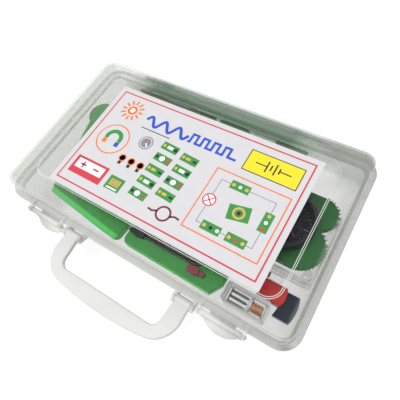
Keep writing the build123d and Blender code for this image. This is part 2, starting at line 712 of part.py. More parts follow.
def bulb(plane, low):
    """The pear-shaped glass of a bulb, revolved about x = 0, in (x, z) of the plane."""
    neck = BULB_CAP_RADIUS - BULB_NECK_STEP
    middle = low + BULB_LENGTH - BULB_RADIUS
    swell = (neck + BULB_RADIUS) / 2 + BULB_NECK_SWELL
    with BuildSketch(plane) as profile:
        with BuildLine():
            Line((0, low), (neck, low))
            ThreePointArc((neck, low), (swell, (low + middle) / 2), (BULB_RADIUS, middle))
            ThreePointArc((BULB_RADIUS, middle),
                          (BULB_RADIUS * sqrt(0.5), middle + BULB_RADIUS * sqrt(0.5)),
                          (0, middle + BULB_RADIUS))
            Line((0, middle + BULB_RADIUS), (0, low))
        make_face()
    revolve(profile.sketch, axis=Axis(plane.origin, plane.y_dir))


for side, plane in lamp_planes.items():
    lamp_holder(plane, side)


# Knife switches, stored face up with the blade closed

def knife_switch(plane, side):
    pivot_z = BOARD_THICK + BLADE_HEIGHT
    cheek = BLADE_THICK / 2 + CHEEK_GAP
    outside = cheek + CHEEK_THICK
    board(plane, switch_board_length, SWITCH_BOARD_WIDTH, f"switch_{side}_board")
    with BuildPart() as post:
        for y in (outside, -cheek):
            with BuildSketch(along(plane, y)):
                fork_side(post_x, pivot_z, BLADE_WIDTH)
            extrude(amount=CHEEK_THICK)
        fork_foot(plane, post_x, cheek)
        # The pin through both cheeks, and its rivet heads
        for y, radius, length in ((outside, BLADE_PIVOT_RADIUS, 2 * outside),
                                  (outside + RIVET_HEIGHT, RIVET_RADIUS, RIVET_HEIGHT),
                                  (-outside, RIVET_RADIUS, RIVET_HEIGHT)):
            with BuildSketch(along(plane, y)):
                with Locations((post_x, pivot_z)):
                    Circle(radius)
            extrude(amount=length)
    save(post, f"switch_{side}_post")
    with BuildPart() as jaw:
        for y in (outside, -cheek):
            with BuildSketch(along(plane, y)):
                fork_side(jaw_x, pivot_z, JAW_WIDTH)
            extrude(amount=CHEEK_THICK)
        fork_foot(plane, jaw_x, cheek)
    save(jaw, f"switch_{side}_jaw")
    with BuildPart() as blade:
        with BuildSketch(along(plane, BLADE_THICK / 2)):
            with Locations((post_x, pivot_z)):
                Circle(BLADE_WIDTH / 2)
            with Locations((post_x + BLADE_LENGTH / 2, pivot_z)):
                Rectangle(BLADE_LENGTH, JAW_WIDTH)
            with Locations((post_x, pivot_z)):
                Circle(BLADE_PIVOT_RADIUS + RUNNING_GAP, mode=Mode.SUBTRACT)
        extrude(amount=BLADE_THICK)
    save(blade, f"switch_{side}_blade")
    with BuildPart() as knob:
        knob_x = post_x + BLADE_LENGTH
        with BuildSketch(across(plane, knob_x)):
            with Locations((0, pivot_z)):
                Circle(KNOB_RADIUS)
        extrude(amount=KNOB_LENGTH, taper=KNOB_TAPER)
        fillet(knob.faces().sort_by(Axis(plane.origin, plane.x_dir))[-1].edges(), KNOB_END_ROUND)
    save(knob, f"switch_{side}_knob")


def fork_side(x, z, width):
    """One cheek of the post or the jaw, in (x, z)."""
    foot = BOARD_THICK + STRIP_THICK
    with Locations((x, (foot + z) / 2)):
        Rectangle(width, z - foot)
    with Locations((x, z)):
        Circle(width / 2)


def fork_foot(plane, x, cheek):
    """The foot that joins the two cheeks on the board's top."""
    with BuildSketch(plane.offset(BOARD_THICK + STRIP_THICK)) as foot:
        with Locations((x, 0)):
            Rectangle(FORK_FOOT, 2 * (cheek + CHEEK_THICK))
    extrude(foot.sketch, amount=CHEEK_THICK)


for side, plane in switch_planes.items():
    knife_switch(plane, side)


# Terminals and strips of all four boards, each kind in one node

with BuildPart() as terminal_posts:
    for plane in lamp_planes.values():
        for x in (-lamp_end, lamp_end):
            terminal(plane, x, 0.0)
    for plane in switch_planes.values():
        for x in (-switch_end, switch_end):
            terminal(plane, x, 0.0)
save(terminal_posts, "terminal_posts")

with BuildPart() as contact_strips:
    for plane in lamp_planes.values():
        strip(plane, -lamp_end, -SOCKET_BASE_RADIUS - SEAT_GAP)
        strip(plane, lamp_end, SOCKET_BASE_RADIUS + SEAT_GAP)
    for plane in switch_planes.values():
        strip(plane, -switch_end, post_x + FORK_FOOT / 2)
        strip(plane, switch_end, jaw_x - FORK_FOOT / 2)
save(contact_strips, "contact_strips")


# Battery holders

def tray_plane(side):
    offset = TRAY_SPACING / 2 * (-1 if side == "left" else 1)
    return upright(TRAY_ROW_X + offset, tray_row_y, CASE_FLOOR)


cell_axis_z = TRAY_WALL + CELL_RADIUS + SEAT_GAP

for side in ("left", "right"):
    plane = tray_plane(side)
    with BuildPart() as battery_tray:
        with BuildSketch(plane):
            RectangleRounded(TRAY_LENGTH, TRAY_WIDTH, TRAY_WALL)
        extrude(amount=TRAY_HEIGHT)
        # The bay for one cell: round below, open above
        with BuildSketch(across(plane, -CELL_LENGTH / 2 - TRAY_CONTACT_ROOM)):
            with Locations((0, cell_axis_z)):
                Circle(CELL_RADIUS + EAR_GAP)
            with Locations((0, (cell_axis_z + TRAY_HEIGHT + TRAY_WALL) / 2)):
                Rectangle(2 * (CELL_RADIUS + EAR_GAP), TRAY_HEIGHT + TRAY_WALL - cell_axis_z)
        extrude(amount=CELL_LENGTH + 2 * TRAY_CONTACT_ROOM, mode=Mode.SUBTRACT)
        # Windows in the long walls to lift the cell out
        with BuildSketch(along(plane, TRAY_WIDTH)):
            with Locations((0, TRAY_HEIGHT)):
                Circle(TRAY_WINDOW / 2)
        extrude(amount=2 * TRAY_WIDTH, mode=Mode.SUBTRACT)
    save(battery_tray, f"battery_{side}_tray")

with BuildPart() as battery_contacts:
    for side in ("left", "right"):
        plane = tray_plane(side)
        for end in (-1, 1):
            inner = end * (CELL_LENGTH / 2 + TRAY_CONTACT_ROOM)
            face_x = inner - end * (CONTACT_THICK + SEAT_GAP)
            top = TRAY_HEIGHT + SEAT_GAP
            land = end * (TRAY_LENGTH / 2 - CONTACT_LAND_INSET)
            with BuildSketch(along(plane, CONTACT_WIDTH / 2)):
                with BuildLine():
                    Polyline((inner - end * SEAT_GAP, TRAY_WALL * 2), (face_x, TRAY_WALL * 2),
                             (face_x, top + CONTACT_THICK), (land, top + CONTACT_THICK), (land, top),
                             (inner - end * SEAT_GAP, top), close=True)
                make_face()
            extrude(amount=CONTACT_WIDTH)
            if end < 0:
                # A pressed spring tongue bears on the cell's negative end.
                with BuildSketch(along(plane, TONGUE_WIDTH / 2)):
                    with BuildLine():
                        ThreePointArc((face_x, cell_axis_z - TONGUE_RISE),
                                      (face_x + TONGUE_BOW, cell_axis_z),
                                      (face_x, cell_axis_z + TONGUE_RISE))
                        Line((face_x, cell_axis_z + TONGUE_RISE), (face_x, cell_axis_z - TONGUE_RISE))
                    make_face()
                extrude(amount=TONGUE_WIDTH)
            with BuildSketch(plane.offset(top + CONTACT_THICK)):
                with Locations(((inner + land) / 2, 0)):
                    RegularPolygon(CONTACT_NUT_RADIUS, TERMINAL_NUT_SIDES)
            extrude(amount=CONTACT_NUT)
save(battery_contacts, "battery_contacts")


# Motor model

motor_plane = upright(*motor_middle, MOTOR_TOP - MOTOR_BASE_THICK)


def motor_outline(inset=0.0):
    """The lobed outline of the motor's base, drawn inset from its edge."""
    back_x, back_y, back_r = BACK_LOBE
    front_x, front_y, front_r = FRONT_LOBE
    with Locations((0, 0)):
        Rectangle(2 * back_x, 2 * (MOTOR_HALF_DEPTH - inset))
    with Locations((back_x, back_y), (-back_x, back_y)):
        Circle(back_r - inset)
    with Locations((front_x, front_y), (-front_x, front_y)):
        Circle(front_r - inset)


def ribs(lobe, span):
    """Evenly spaced pointed ribs round a lobe (x, y, radius) and its mirror image in x."""
    x, y, radius = lobe
    start, stop = span
    count = int(radians(stop - start) * radius / RIB_PITCH) + 1
    for end in (-1, 1):
        for step in range(count):
            angle = start + (stop - start) * step / (count - 1)
            place = (end * (x + radius * cos(radians(angle))), y + radius * sin(radians(angle)))
            with Locations(Location((*place, 0), end * angle)):
                RegularPolygon(RIB_REACH, 4)


with BuildPart() as motor_base:
    with BuildSketch(motor_plane):
        motor_outline()
    extrude(amount=MOTOR_BASE_THICK)
    with BuildSketch(motor_plane):
        motor_outline(MOTOR_SKIRT)
    extrude(amount=MOTOR_BASE_THICK - MOTOR_PLATE, mode=Mode.SUBTRACT)
    # Fine upright ribs round the lobes
    with BuildSketch(motor_plane):
        ribs(BACK_LOBE, BACK_RIB_SPAN)
        ribs(FRONT_LOBE, FRONT_RIB_SPAN)
    extrude(amount=MOTOR_BASE_THICK - RIB_REACH)
save(motor_base, "motor_base")

motor_top = motor_plane.offset(MOTOR_BASE_THICK)
rotor_end = SHAFT_LENGTH / 2

with BuildPart() as motor_bearings:
    for y in (-BEARING_SPREAD, BEARING_SPREAD):
        with BuildSketch(along(motor_top, y + BEARING_THICK / 2)):
            with Locations((ROTOR_X, ROTOR_HEIGHT / 2)):
                Rectangle(BEARING_FOOT, ROTOR_HEIGHT)
            with Locations((ROTOR_X, ROTOR_HEIGHT)):
                Circle(BEARING_FOOT / 2)
                Circle(SHAFT_RADIUS + RUNNING_GAP, mode=Mode.SUBTRACT)
        extrude(amount=BEARING_THICK)
save(motor_bearings, "motor_bearings")

with BuildPart() as motor_shaft:
    sleeve_start = -COMMUTATOR_START + COLLAR_THICK
    # The shaft, the commutator's sleeve and the collar inside the far bearing
    for y, radius, length in (
        (rotor_end, SHAFT_RADIUS, SHAFT_LENGTH),
        (sleeve_start, SLEEVE_RADIUS, COMMUTATOR_LENGTH + COLLAR_THICK),
        (BEARING_SPREAD - BEARING_THICK / 2 - EAR_GAP, COLLAR_RADIUS, COLLAR_THICK),
    ):
        with BuildSketch(along(motor_top, y)):
            with Locations((ROTOR_X, ROTOR_HEIGHT)):
                Circle(radius)
        extrude(amount=length)
save(motor_shaft, "motor_shaft")

with BuildPart() as motor_core:
    # An H-shaped iron core, pole faces rounded to the rotor's circle
    with BuildSketch(along(motor_top, ROTOR_CORE_LENGTH / 2)):
        with Locations((ROTOR_X, ROTOR_HEIGHT)):
            Circle(ROTOR_COIL_RADIUS)
            for side_x in (-1, 1):
                with Locations((side_x * (POLE_NECK / 2 + ROTOR_COIL_RADIUS / 2), 0)):
                    Rectangle(ROTOR_COIL_RADIUS, 2 * POLE_HEIGHT, mode=Mode.SUBTRACT)
            Circle(SHAFT_RADIUS + SEAT_GAP, mode=Mode.SUBTRACT)
    extrude(amount=ROTOR_CORE_LENGTH)
save(motor_core, "motor_core")

with BuildPart() as motor_winding:
    # The closed band of wire wound along the core's neck, both sides
    with BuildSketch(motor_top.offset(ROTOR_HEIGHT - POLE_HEIGHT + SEAT_GAP)):
        with Locations((ROTOR_X, 0)):
            RectangleRounded(2 * ROTOR_CORE_RADIUS, ROTOR_CORE_LENGTH + 2 * WINDING_OVERHANG,
                             WINDING_OVERHANG)
            Rectangle(POLE_NECK + 2 * SEAT_GAP, ROTOR_CORE_LENGTH + 2 * SEAT_GAP, mode=Mode.SUBTRACT)
    extrude(amount=2 * (POLE_HEIGHT - SEAT_GAP))
    with BuildSketch(along(motor_top, rotor_end)):
        with Locations((ROTOR_X, ROTOR_HEIGHT)):
            Circle(SHAFT_RADIUS + SEAT_GAP)
    extrude(amount=SHAFT_LENGTH, mode=Mode.SUBTRACT)
save(motor_winding, "motor_winding")

with BuildPart() as motor_commutator:
    with BuildSketch(along(motor_top, -COMMUTATOR_START)):
        with Locations((ROTOR_X, ROTOR_HEIGHT)):
            Circle(COMMUTATOR_RADIUS)
            Rectangle(COMMUTATOR_SLIT, 2 * COMMUTATOR_RADIUS, mode=Mode.SUBTRACT)
            Circle(SLEEVE_RADIUS + SEAT_GAP, mode=Mode.SUBTRACT)
    extrude(amount=COMMUTATOR_LENGTH)
save(motor_commutator, "motor_commutator")

with BuildPart() as motor_brushes:
    brush_y = -COMMUTATOR_START - COMMUTATOR_LENGTH / 2
    for side_x in (-1, 1):
        face = COMMUTATOR_RADIUS + EAR_GAP
        with BuildSketch(along(motor_top, brush_y + BRUSH_WIDTH / 2)):
            with BuildLine():
                x = ROTOR_X + side_x * face
                back = x + side_x * BRUSH_THICK
                foot = back + side_x * BRUSH_FOOT
                Polyline((x, 0), (x, ROTOR_HEIGHT + BRUSH_OVER), (back, ROTOR_HEIGHT + BRUSH_OVER),
                         (back, BRUSH_THICK), (foot, BRUSH_THICK), (foot, 0), close=True)
            make_face()
        extrude(amount=BRUSH_WIDTH)
save(motor_brushes, "motor_brushes")


# Motor magnets, taken off and stored one on the other

def magnet(place, z, size_x, size_y, name):
    """A block magnet, bowed on its +x side and slightly hollow on the other."""
    half_x, half_y = size_x / 2, size_y / 2
    with BuildPart() as piece:
        with BuildSketch(upright(*place, z)):
            with BuildLine():
                Line((half_x - MAGNET_BOW, half_y), (-half_x, half_y))
                SagittaArc((-half_x, half_y), (-half_x, -half_y), MAGNET_HOLLOW)
                Line((-half_x, -half_y), (half_x - MAGNET_BOW, -half_y))
                ThreePointArc((half_x - MAGNET_BOW, -half_y), (half_x, 0), (half_x - MAGNET_BOW, half_y))
            make_face()
        extrude(amount=MAGNET_THICK)
        chamfer(piece.faces().sort_by(Axis.Z)[-1].edges(), MAGNET_EDGE)
    save(piece, name)


blue_place = (side_wall - BLUE_MAGNET_INSET[0], front_wall + BLUE_MAGNET_INSET[1])
red_place = (side_wall - RED_MAGNET_INSET[0], front_wall + RED_MAGNET_INSET[1])
magnet(blue_place, CASE_FLOOR, MAGNET_DEPTH, MAGNET_LENGTH, "magnet_blue")
magnet(red_place, CASE_FLOOR + MAGNET_THICK, MAGNET_LENGTH, MAGNET_DEPTH, "magnet_red")


# Compass

compass_at = (motor_middle[0] + COMPASS_OFFSET[0], motor_middle[1] + COMPASS_OFFSET[1])
compass_plane = upright(*compass_at, MOTOR_TOP)
bowl_radius = COMPASS_RADIUS - COMPASS_WALL
glass_low = COMPASS_HEIGHT - COMPASS_GLASS_DROP - COMPASS_GLASS_THICK
needle_height = glass_low - NEEDLE_THICK - NEEDLE_GAP

with BuildPart() as compass_case:
    with BuildSketch(along(compass_plane)):
        with BuildLine():
            Polyline((0, 0), (COMPASS_RADIUS - COMPASS_FOOT_STEP, 0),
                     (COMPASS_RADIUS, COMPASS_FOOT_STEP), (COMPASS_RADIUS, COMPASS_HEIGHT - COMPASS_BEVEL),
                     (COMPASS_RADIUS - COMPASS_BEVEL, COMPASS_HEIGHT), (bowl_radius, COMPASS_HEIGHT),
                     (bowl_radius, glass_low), (bowl_radius - COMPASS_LEDGE, glass_low),
                     (bowl_radius - COMPASS_LEDGE, COMPASS_FLOOR), (0, COMPASS_FLOOR), close=True)
        make_face()
    revolve(axis=Axis(compass_plane.origin, (0, 0, 1)))
save(compass_case, "compass_case")

with BuildPart() as compass_dial:
    with BuildSketch(compass_plane.offset(COMPASS_FLOOR)):
        Circle(bowl_radius - COMPASS_LEDGE - SEAT_GAP)
        Circle(PIVOT_RADIUS + SEAT_GAP, mode=Mode.SUBTRACT)
    extrude(amount=COMPASS_DIAL_THICK)
save(compass_dial, "compass_dial")

with BuildPart() as compass_pivot:
    with BuildSketch(along(compass_plane)):
        with BuildLine():
            Polyline((0, COMPASS_FLOOR), (PIVOT_RADIUS, COMPASS_FLOOR),
                     (PIVOT_RADIUS, needle_height - EAR_GAP),
                     (PIVOT_PIN_RADIUS, needle_height - EAR_GAP),
                     (PIVOT_PIN_RADIUS, needle_height + 2 * NEEDLE_THICK),
                     (0, needle_height + 2 * NEEDLE_THICK), close=True)
        make_face()
    revolve(axis=Axis(compass_plane.origin, (0, 0, 1)))
save(compass_pivot, "compass_pivot")

needle_plane = upright(*compass_at, MOTOR_TOP + needle_height, NEEDLE_TURN)
for name, direction in (("compass_needle_north", 1), ("compass_needle_south", -1)):
    with BuildPart() as needle:
        with BuildSketch(needle_plane):
            with BuildLine():
                Polyline((0, -NEEDLE_WIDTH / 2), (direction * NEEDLE_LENGTH, 0),
                         (0, NEEDLE_WIDTH / 2), close=True)
            make_face()
            if direction < 0:
                Circle(NEEDLE_CAP_RADIUS + SEAT_GAP, mode=Mode.SUBTRACT)
            else:
                Circle(NEEDLE_CAP_RADIUS)
                Circle(PIVOT_PIN_RADIUS + RUNNING_GAP, mode=Mode.SUBTRACT)
        extrude(amount=NEEDLE_THICK)
    save(needle, name)

with BuildPart() as compass_glass:
    with BuildSketch(compass_plane.offset(glass_low)):
        Circle(bowl_radius - SEAT_GAP)
    extrude(amount=COMPASS_GLASS_THICK)
save(compass_glass, "compass_glass")


# A wire's centre line, drawn from straights and pairs of arcs

def wire_path(plane, stations):
    """Draw the line through (point, direction) stations given in the plane's own axes."""
    placed = []
    for point, way in stations:
        start = plane.from_local_coords(point)
        placed.append((start, (plane.from_local_coords(way) - plane.origin).normalized()))
    for (start, leaving), (finish, arriving) in zip(placed, placed[1:]):
        chord = finish - start
        both = leaving + arriving
        reach = 2 * (1 - leaving.dot(arriving))
        if reach < 0.001:
            Line(start, finish)
            continue
        forward = chord.dot(both)
        arm = (sqrt(forward ** 2 + reach * chord.dot(chord)) - forward) / reach
        middle = (start + finish + (leaving - arriving) * arm) * 0.5
        through = (finish - arriving * arm) - (start + leaving * arm)
        TangentArc(start, middle, tangent=leaving)
        TangentArc(middle, finish, tangent=through.normalized())


def wire(plane, stations, diameter, name):
    """Sweep one unbroken wire along its stations, and print its least gap to itself."""
    with BuildPart() as piece:
        with BuildLine() as route:
            wire_path(plane, stations)
        with BuildSketch(Plane(origin=route.line @ 0, z_dir=route.line % 0)):
            Circle(diameter / 2)
        sweep()
    save(piece, name)
    line = route.wire()
    step = diameter / 2
    count = int(line.length / step)
    points = [line.position_at(index / count) for index in range(count + 1)]
    apart = int(pi * diameter / step) + 1
    least = min((points[i] - points[j]).length
                for i in range(count + 1) for j in range(i + apart, count + 1))
    print(f"{name}: {line.length:.0f} mm of wire, least gap to itself {least - diameter:.2f} mm")


def helix_stations(half_turns, pitch, radius, axis_z):
    """Stations of a coil about the X axis at height axis_z, one at each half turn."""
    rise = pitch / (2 * pi * radius)
    for half in range(half_turns + 1):
        side = 1 if half % 2 == 0 else -1
        slope = 0 if half in (0, half_turns) else rise
        x = (half - half_turns / 2) * pitch / 2
        yield (x, side * radius, axis_z), (slope, 0, side)


# Electromagnet: base, brackets, bobbin, iron core and copper coil

near_x, far_x = (inset - side_wall for inset in COIL_LOBE_INSETS)
near_y, far_y = COIL_LOBE_ROWS
lobe_span = hypot(far_x - near_x, far_y - near_y)
coil_turn = degrees(atan2(far_y - near_y, far_x - near_x))
coil_plane = face_down((near_x + far_x) / 2, (near_y + far_y) / 2, COIL_BASE_TOP, coil_turn)
coil_lobe = (lobe_span / 2, 0.0, COIL_LOBE_RADIUS)
bobbin_end = BOBBIN_HALF_LENGTH
bracket_in = bobbin_end + SEAT_GAP
floor_drop = COIL_BASE_TOP - CASE_FLOOR

with BuildPart() as electromagnet_base:
    with BuildSketch(coil_plane) as coil_outline:
        with Locations((-lobe_span / 2, 0), (lobe_span / 2, 0)):
            Circle(COIL_LOBE_RADIUS)
        Rectangle(lobe_span, COIL_WAIST)
        waist_corners = coil_outline.vertices().filter_by(
            lambda corner: abs(coil_plane.to_local_coords(corner.center()).X) < lobe_span / 2)
        fillet(waist_corners, COIL_WAIST_ROUND)
    extrude(amount=BOARD_THICK)
    with BuildSketch(coil_plane.offset(RIB_REACH)):
        ribs(coil_lobe, COIL_RIB_SPAN)
    extrude(amount=BOARD_THICK - RIB_REACH)
    # Two brackets hold the core and stand on the case's floor.
    for x in (bracket_in, -bracket_in - BRACKET_THICK):
        with BuildSketch(across(coil_plane, x)):
            with Locations((0, (BOARD_THICK + floor_drop) / 2)):
                Rectangle(BRACKET_WIDTH, floor_drop - BOARD_THICK)
            with Locations((0, COIL_AXIS_DROP)):
                Circle(IRON_CORE_RADIUS + SEAT_GAP, mode=Mode.SUBTRACT)
        extrude(amount=BRACKET_THICK)
save(electromagnet_base, "electromagnet_base")

with BuildPart() as electromagnet_bobbin:
    for x, radius, length in (
        (-bobbin_end, BOBBIN_RADIUS, 2 * bobbin_end),
        (-bobbin_end, BOBBIN_FLANGE_RADIUS, BOBBIN_FLANGE_THICK),
        (bobbin_end - BOBBIN_FLANGE_THICK, BOBBIN_FLANGE_RADIUS, BOBBIN_FLANGE_THICK),
    ):
        with BuildSketch(across(coil_plane, x)):
            with Locations((0, COIL_AXIS_DROP)):
                Circle(radius)
        extrude(amount=length)
    with BuildSketch(across(coil_plane, -bobbin_end)):
        with Locations((0, COIL_AXIS_DROP)):
            Circle(IRON_CORE_RADIUS + SEAT_GAP)
    extrude(amount=2 * bobbin_end, mode=Mode.SUBTRACT)
save(electromagnet_bobbin, "electromagnet_bobbin")

with BuildPart() as electromagnet_core:
    core_half = bobbin_end + BRACKET_THICK + IRON_CORE_OVERHANG
    with BuildSketch(across(coil_plane, -core_half)):
        with Locations((0, COIL_AXIS_DROP)):
            Circle(IRON_CORE_RADIUS)
    extrude(amount=2 * core_half)
    chamfer(electromagnet_core.edges().filter_by(GeomType.CIRCLE), IRON_CORE_EDGE)
save(electromagnet_core, "electromagnet_core")

coil_radius = BOBBIN_RADIUS + SEAT_GAP + COIL_WIRE / 2
coil_stations = list(helix_stations(COIL_HALF_TURNS, COIL_PITCH, coil_radius, COIL_AXIS_DROP))
coil_start, coil_finish = coil_stations[0][0], coil_stations[-1][0]
coil_stations.insert(0, ((coil_start[0], coil_start[1], BOARD_THICK + SEAT_GAP), (0, 0, 1)))
coil_stations.append(((coil_finish[0], coil_finish[1], BOARD_THICK + SEAT_GAP), (0, 0, -1)))
wire(coil_plane, coil_stations, COIL_WIRE, "electromagnet_winding")


# Clear boxes and what lies in and beside them

with BuildPart() as parts_box:
    box_top = MOTOR_TOP - MOTOR_BASE_THICK
    with BuildSketch(Plane.XY.offset(CASE_FLOOR)):
        rounded_block(parts_box_low, parts_box_high, PARTS_BOX_CORNER)
    extrude(amount=box_top - CASE_FLOOR)
    inner_low = (parts_box_low[0] + PARTS_BOX_WALL, parts_box_low[1] + PARTS_BOX_WALL)
    inner_high = (parts_box_high[0] - PARTS_BOX_WALL, parts_box_high[1] - PARTS_BOX_WALL)
    with BuildSketch(Plane.XY.offset(CASE_FLOOR + PARTS_BOX_WALL)):
        rounded_block(inner_low, inner_high, PARTS_BOX_CORNER - PARTS_BOX_WALL)
    extrude(amount=box_top - CASE_FLOOR, mode=Mode.SUBTRACT)
    # A round post in each corner
    with BuildSketch(Plane.XY.offset(CASE_FLOOR)):
        for x in (parts_box_low[0] + PARTS_BOX_CORNER, parts_box_high[0] - PARTS_BOX_CORNER):
            for y in (parts_box_low[1] + PARTS_BOX_CORNER, parts_box_high[1] - PARTS_BOX_CORNER):
                with Locations((x, y)):
                    Circle(PARTS_BOX_POST)
    extrude(amount=box_top - CASE_FLOOR)
save(parts_box, "parts_box")

spare_axis_z = CASE_FLOOR + SPARE_BULB_RADIUS
spare_y = parts_box_low[1] - SPARE_BULB_GAP - SPARE_BULB_RADIUS
spare_plane = upright(parts_box_low[0] + SPARE_BULB_INSET, spare_y, spare_axis_z)

with BuildPart() as spare_bulb_glass:
    with BuildSketch(spare_plane):
        with BuildLine():
            half = SPARE_BULB_LENGTH - SPARE_BULB_RADIUS
            Polyline((half, SPARE_BULB_RADIUS), (SPARE_BULB_RADIUS, SPARE_BULB_RADIUS),
                     (0, SPARE_CAP_RADIUS), (0, 0), (SPARE_BULB_LENGTH, 0))
            RadiusArc((SPARE_BULB_LENGTH, 0), (half, SPARE_BULB_RADIUS), -SPARE_BULB_RADIUS)
        make_face()
    revolve(axis=Axis(spare_plane.origin, (1, 0, 0)))
save(spare_bulb_glass, "spare_bulb_glass")

with BuildPart() as spare_bulb_cap:
    with BuildSketch(across(spare_plane, -SPARE_CAP_LENGTH - SEAT_GAP)):
        Circle(SPARE_CAP_RADIUS)
    extrude(amount=SPARE_CAP_LENGTH)
    with BuildSketch(across(spare_plane, -SPARE_CAP_LENGTH - SEAT_GAP)):
        Circle(SPARE_CAP_RADIUS / 2)
    extrude(amount=-SPARE_TIP)
save(spare_bulb_cap, "spare_bulb_cap")

wire_box_y = wire_box_low[1] + WIRE_BOX_DEPTH / 2

with BuildPart() as wire_box:
    with BuildSketch(Plane.XY.offset(CASE_FLOOR)):
        rounded_block(wire_box_low, wire_box_high, WIRE_BOX_CORNER)
    extrude(amount=WIRE_BOX_HEIGHT)
    inner_low = (wire_box_low[0] + WIRE_BOX_WALL, wire_box_low[1] + WIRE_BOX_WALL)
    inner_high = (wire_box_high[0] - WIRE_BOX_WALL, wire_box_high[1] - WIRE_BOX_WALL)
    with BuildSketch(Plane.XY.offset(CASE_FLOOR + WIRE_BOX_WALL)):
        rounded_block(inner_low, inner_high, WIRE_BOX_CORNER - WIRE_BOX_WALL)
    extrude(amount=WIRE_BOX_HEIGHT, mode=Mode.SUBTRACT)
    with BuildSketch(Plane.XY.offset(CASE_FLOOR)):
        with Locations((wire_box_low[0] + WIRE_BOX_DIVIDER, wire_box_y)):
            Rectangle(WIRE_BOX_WALL, WIRE_BOX_DEPTH - WIRE_BOX_WALL)
    extrude(amount=2 * WIRE_BOX_HEIGHT / 3)
save(wire_box, "wire_box")

box_floor = CASE_FLOOR + WIRE_BOX_WALL
reel_axis_z = REEL_FLANGE_RADIUS + SEAT_GAP
reel_plane = upright(wire_box_low[0] + REEL_INSET, wire_box_y, box_floor)

with BuildPart() as wire_spool:
    for x, radius, length in (
        (-REEL_LENGTH / 2, REEL_CORE_RADIUS, REEL_LENGTH),
        (-REEL_LENGTH / 2, REEL_FLANGE_RADIUS, REEL_FLANGE_THICK),
        (REEL_LENGTH / 2 - REEL_FLANGE_THICK, REEL_FLANGE_RADIUS, REEL_FLANGE_THICK),
    ):
        with BuildSketch(across(reel_plane, x)):
            with Locations((0, reel_axis_z)):
                Circle(radius)
        extrude(amount=length)
    with BuildSketch(across(reel_plane, -REEL_LENGTH / 2)):
        with Locations((0, reel_axis_z)):
            Circle(REEL_BORE_RADIUS)
    extrude(amount=REEL_LENGTH, mode=Mode.SUBTRACT)
save(wire_spool, "wire_spool")

reel_wire_radius = REEL_CORE_RADIUS + SEAT_GAP + REEL_WIRE / 2
reel_stations = list(helix_stations(REEL_HALF_TURNS, REEL_PITCH, reel_wire_radius, reel_axis_z))
reel_start, reel_finish = reel_stations[0][0], reel_stations[-1][0]
reel_stations.insert(0, ((reel_start[0], reel_start[1], reel_axis_z - REEL_TAIL), (0, 0, 1)))
reel_stations.append(((reel_finish[0], reel_finish[1], reel_axis_z - REEL_TAIL), (0, 0, -1)))
wire(reel_plane, reel_stations, REEL_WIRE, "wire_spool_winding")

with BuildPart() as iron_nails:
    for row in range(NAIL_COUNT):
        y = wire_box_y + (row - (NAIL_COUNT - 1) / 2) * NAIL_SPACING
        nail_plane = upright(wire_box_low[0] + NAIL_INSET, y, box_floor + NAIL_HEAD_RADIUS)
        with BuildSketch(along(nail_plane)):
            with BuildLine():
                Polyline((0, 0), (0, NAIL_HEAD_RADIUS), (NAIL_HEAD_THICK, NAIL_HEAD_RADIUS),
                         (NAIL_HEAD_THICK, NAIL_RADIUS), (NAIL_LENGTH - NAIL_POINT, NAIL_RADIUS),
                         (NAIL_LENGTH, 0), close=True)
            make_face()
        revolve(axis=Axis(nail_plane.origin, (1, 0, 0)))
save(iron_nails, "iron_nails")


# Leads, each wound into a flat two-layer coil with both ends out

def lead_stations():
    """Spiral in along the lower layer, climb in the innermost half turn, and spiral out above."""
    half_turns = 2 * LEAD_LAYER_HALF_TURNS + 1
    low_z, high_z = LEAD_WIRE / 2, LEAD_WIRE / 2 + LEAD_RISE
    start_x = -LEAD_STRAIGHT / 2
    yield (start_x - LEAD_LOW_TAIL, -LEAD_OUTER_RADIUS, low_z), (1, 0, 0)
    for half in range(half_turns):
        side = 1 if half % 2 == 0 else -1
        for done, way in ((half, side), (half + 1, -side)):
            steps_in = min(done, half_turns - done)
            radius = LEAD_OUTER_RADIUS - steps_in * LEAD_PITCH / 2
            height = low_z if done <= LEAD_LAYER_HALF_TURNS else high_z
            y = radius if done % 2 == 1 else -radius
            yield (side * LEAD_STRAIGHT / 2, y, height), (way, 0, 0)
    # The upper tail comes down to the lower one's height.
    yield (start_x, LEAD_OUTER_RADIUS, high_z), (-1, 0, 0)
    yield (start_x - LEAD_HIGH_TAIL / 2, LEAD_OUTER_RADIUS, (low_z + high_z) / 2), (-1, 0, -LEAD_FALL)
    yield (start_x - LEAD_HIGH_TAIL, LEAD_OUTER_RADIUS, low_z), (-1, 0, 0)
    yield (start_x - LEAD_HIGH_TAIL - LEAD_WIRE, LEAD_OUTER_RADIUS, low_z), (-1, 0, 0)


black_x = lamp_middles["right"] + BLACK_LEAD_SHIFT[0]
black_y = front_wall + LAMP_PLACES["right"][0] + BLACK_LEAD_SHIFT[1]
red_x = TRAY_ROW_X - TRAY_SPACING / 2
red_z = CASE_FLOOR + TRAY_HEIGHT + RED_LEAD_RISE
red_plane = upright(red_x, tray_row_y + RED_LEAD_SHIFT, red_z)
black_plane = upright(black_x, black_y, LAMP_BOARD_TOP + LEAD_REST_GAP)
spare_clip_x = lamp_middles["right"] + SPARE_CLIP_SHIFT[0]
spare_clip_y = front_wall + LAMP_PLACES["right"][0] + SPARE_CLIP_SHIFT[1]
spare_clip_plane = upright(spare_clip_x, spare_clip_y, LAMP_BOARD_TOP + LEAD_REST_GAP)
wire(red_plane, list(lead_stations()), LEAD_WIRE, "lead_red_coil")
wire(black_plane, list(lead_stations()), LEAD_WIRE, "lead_black_coil")


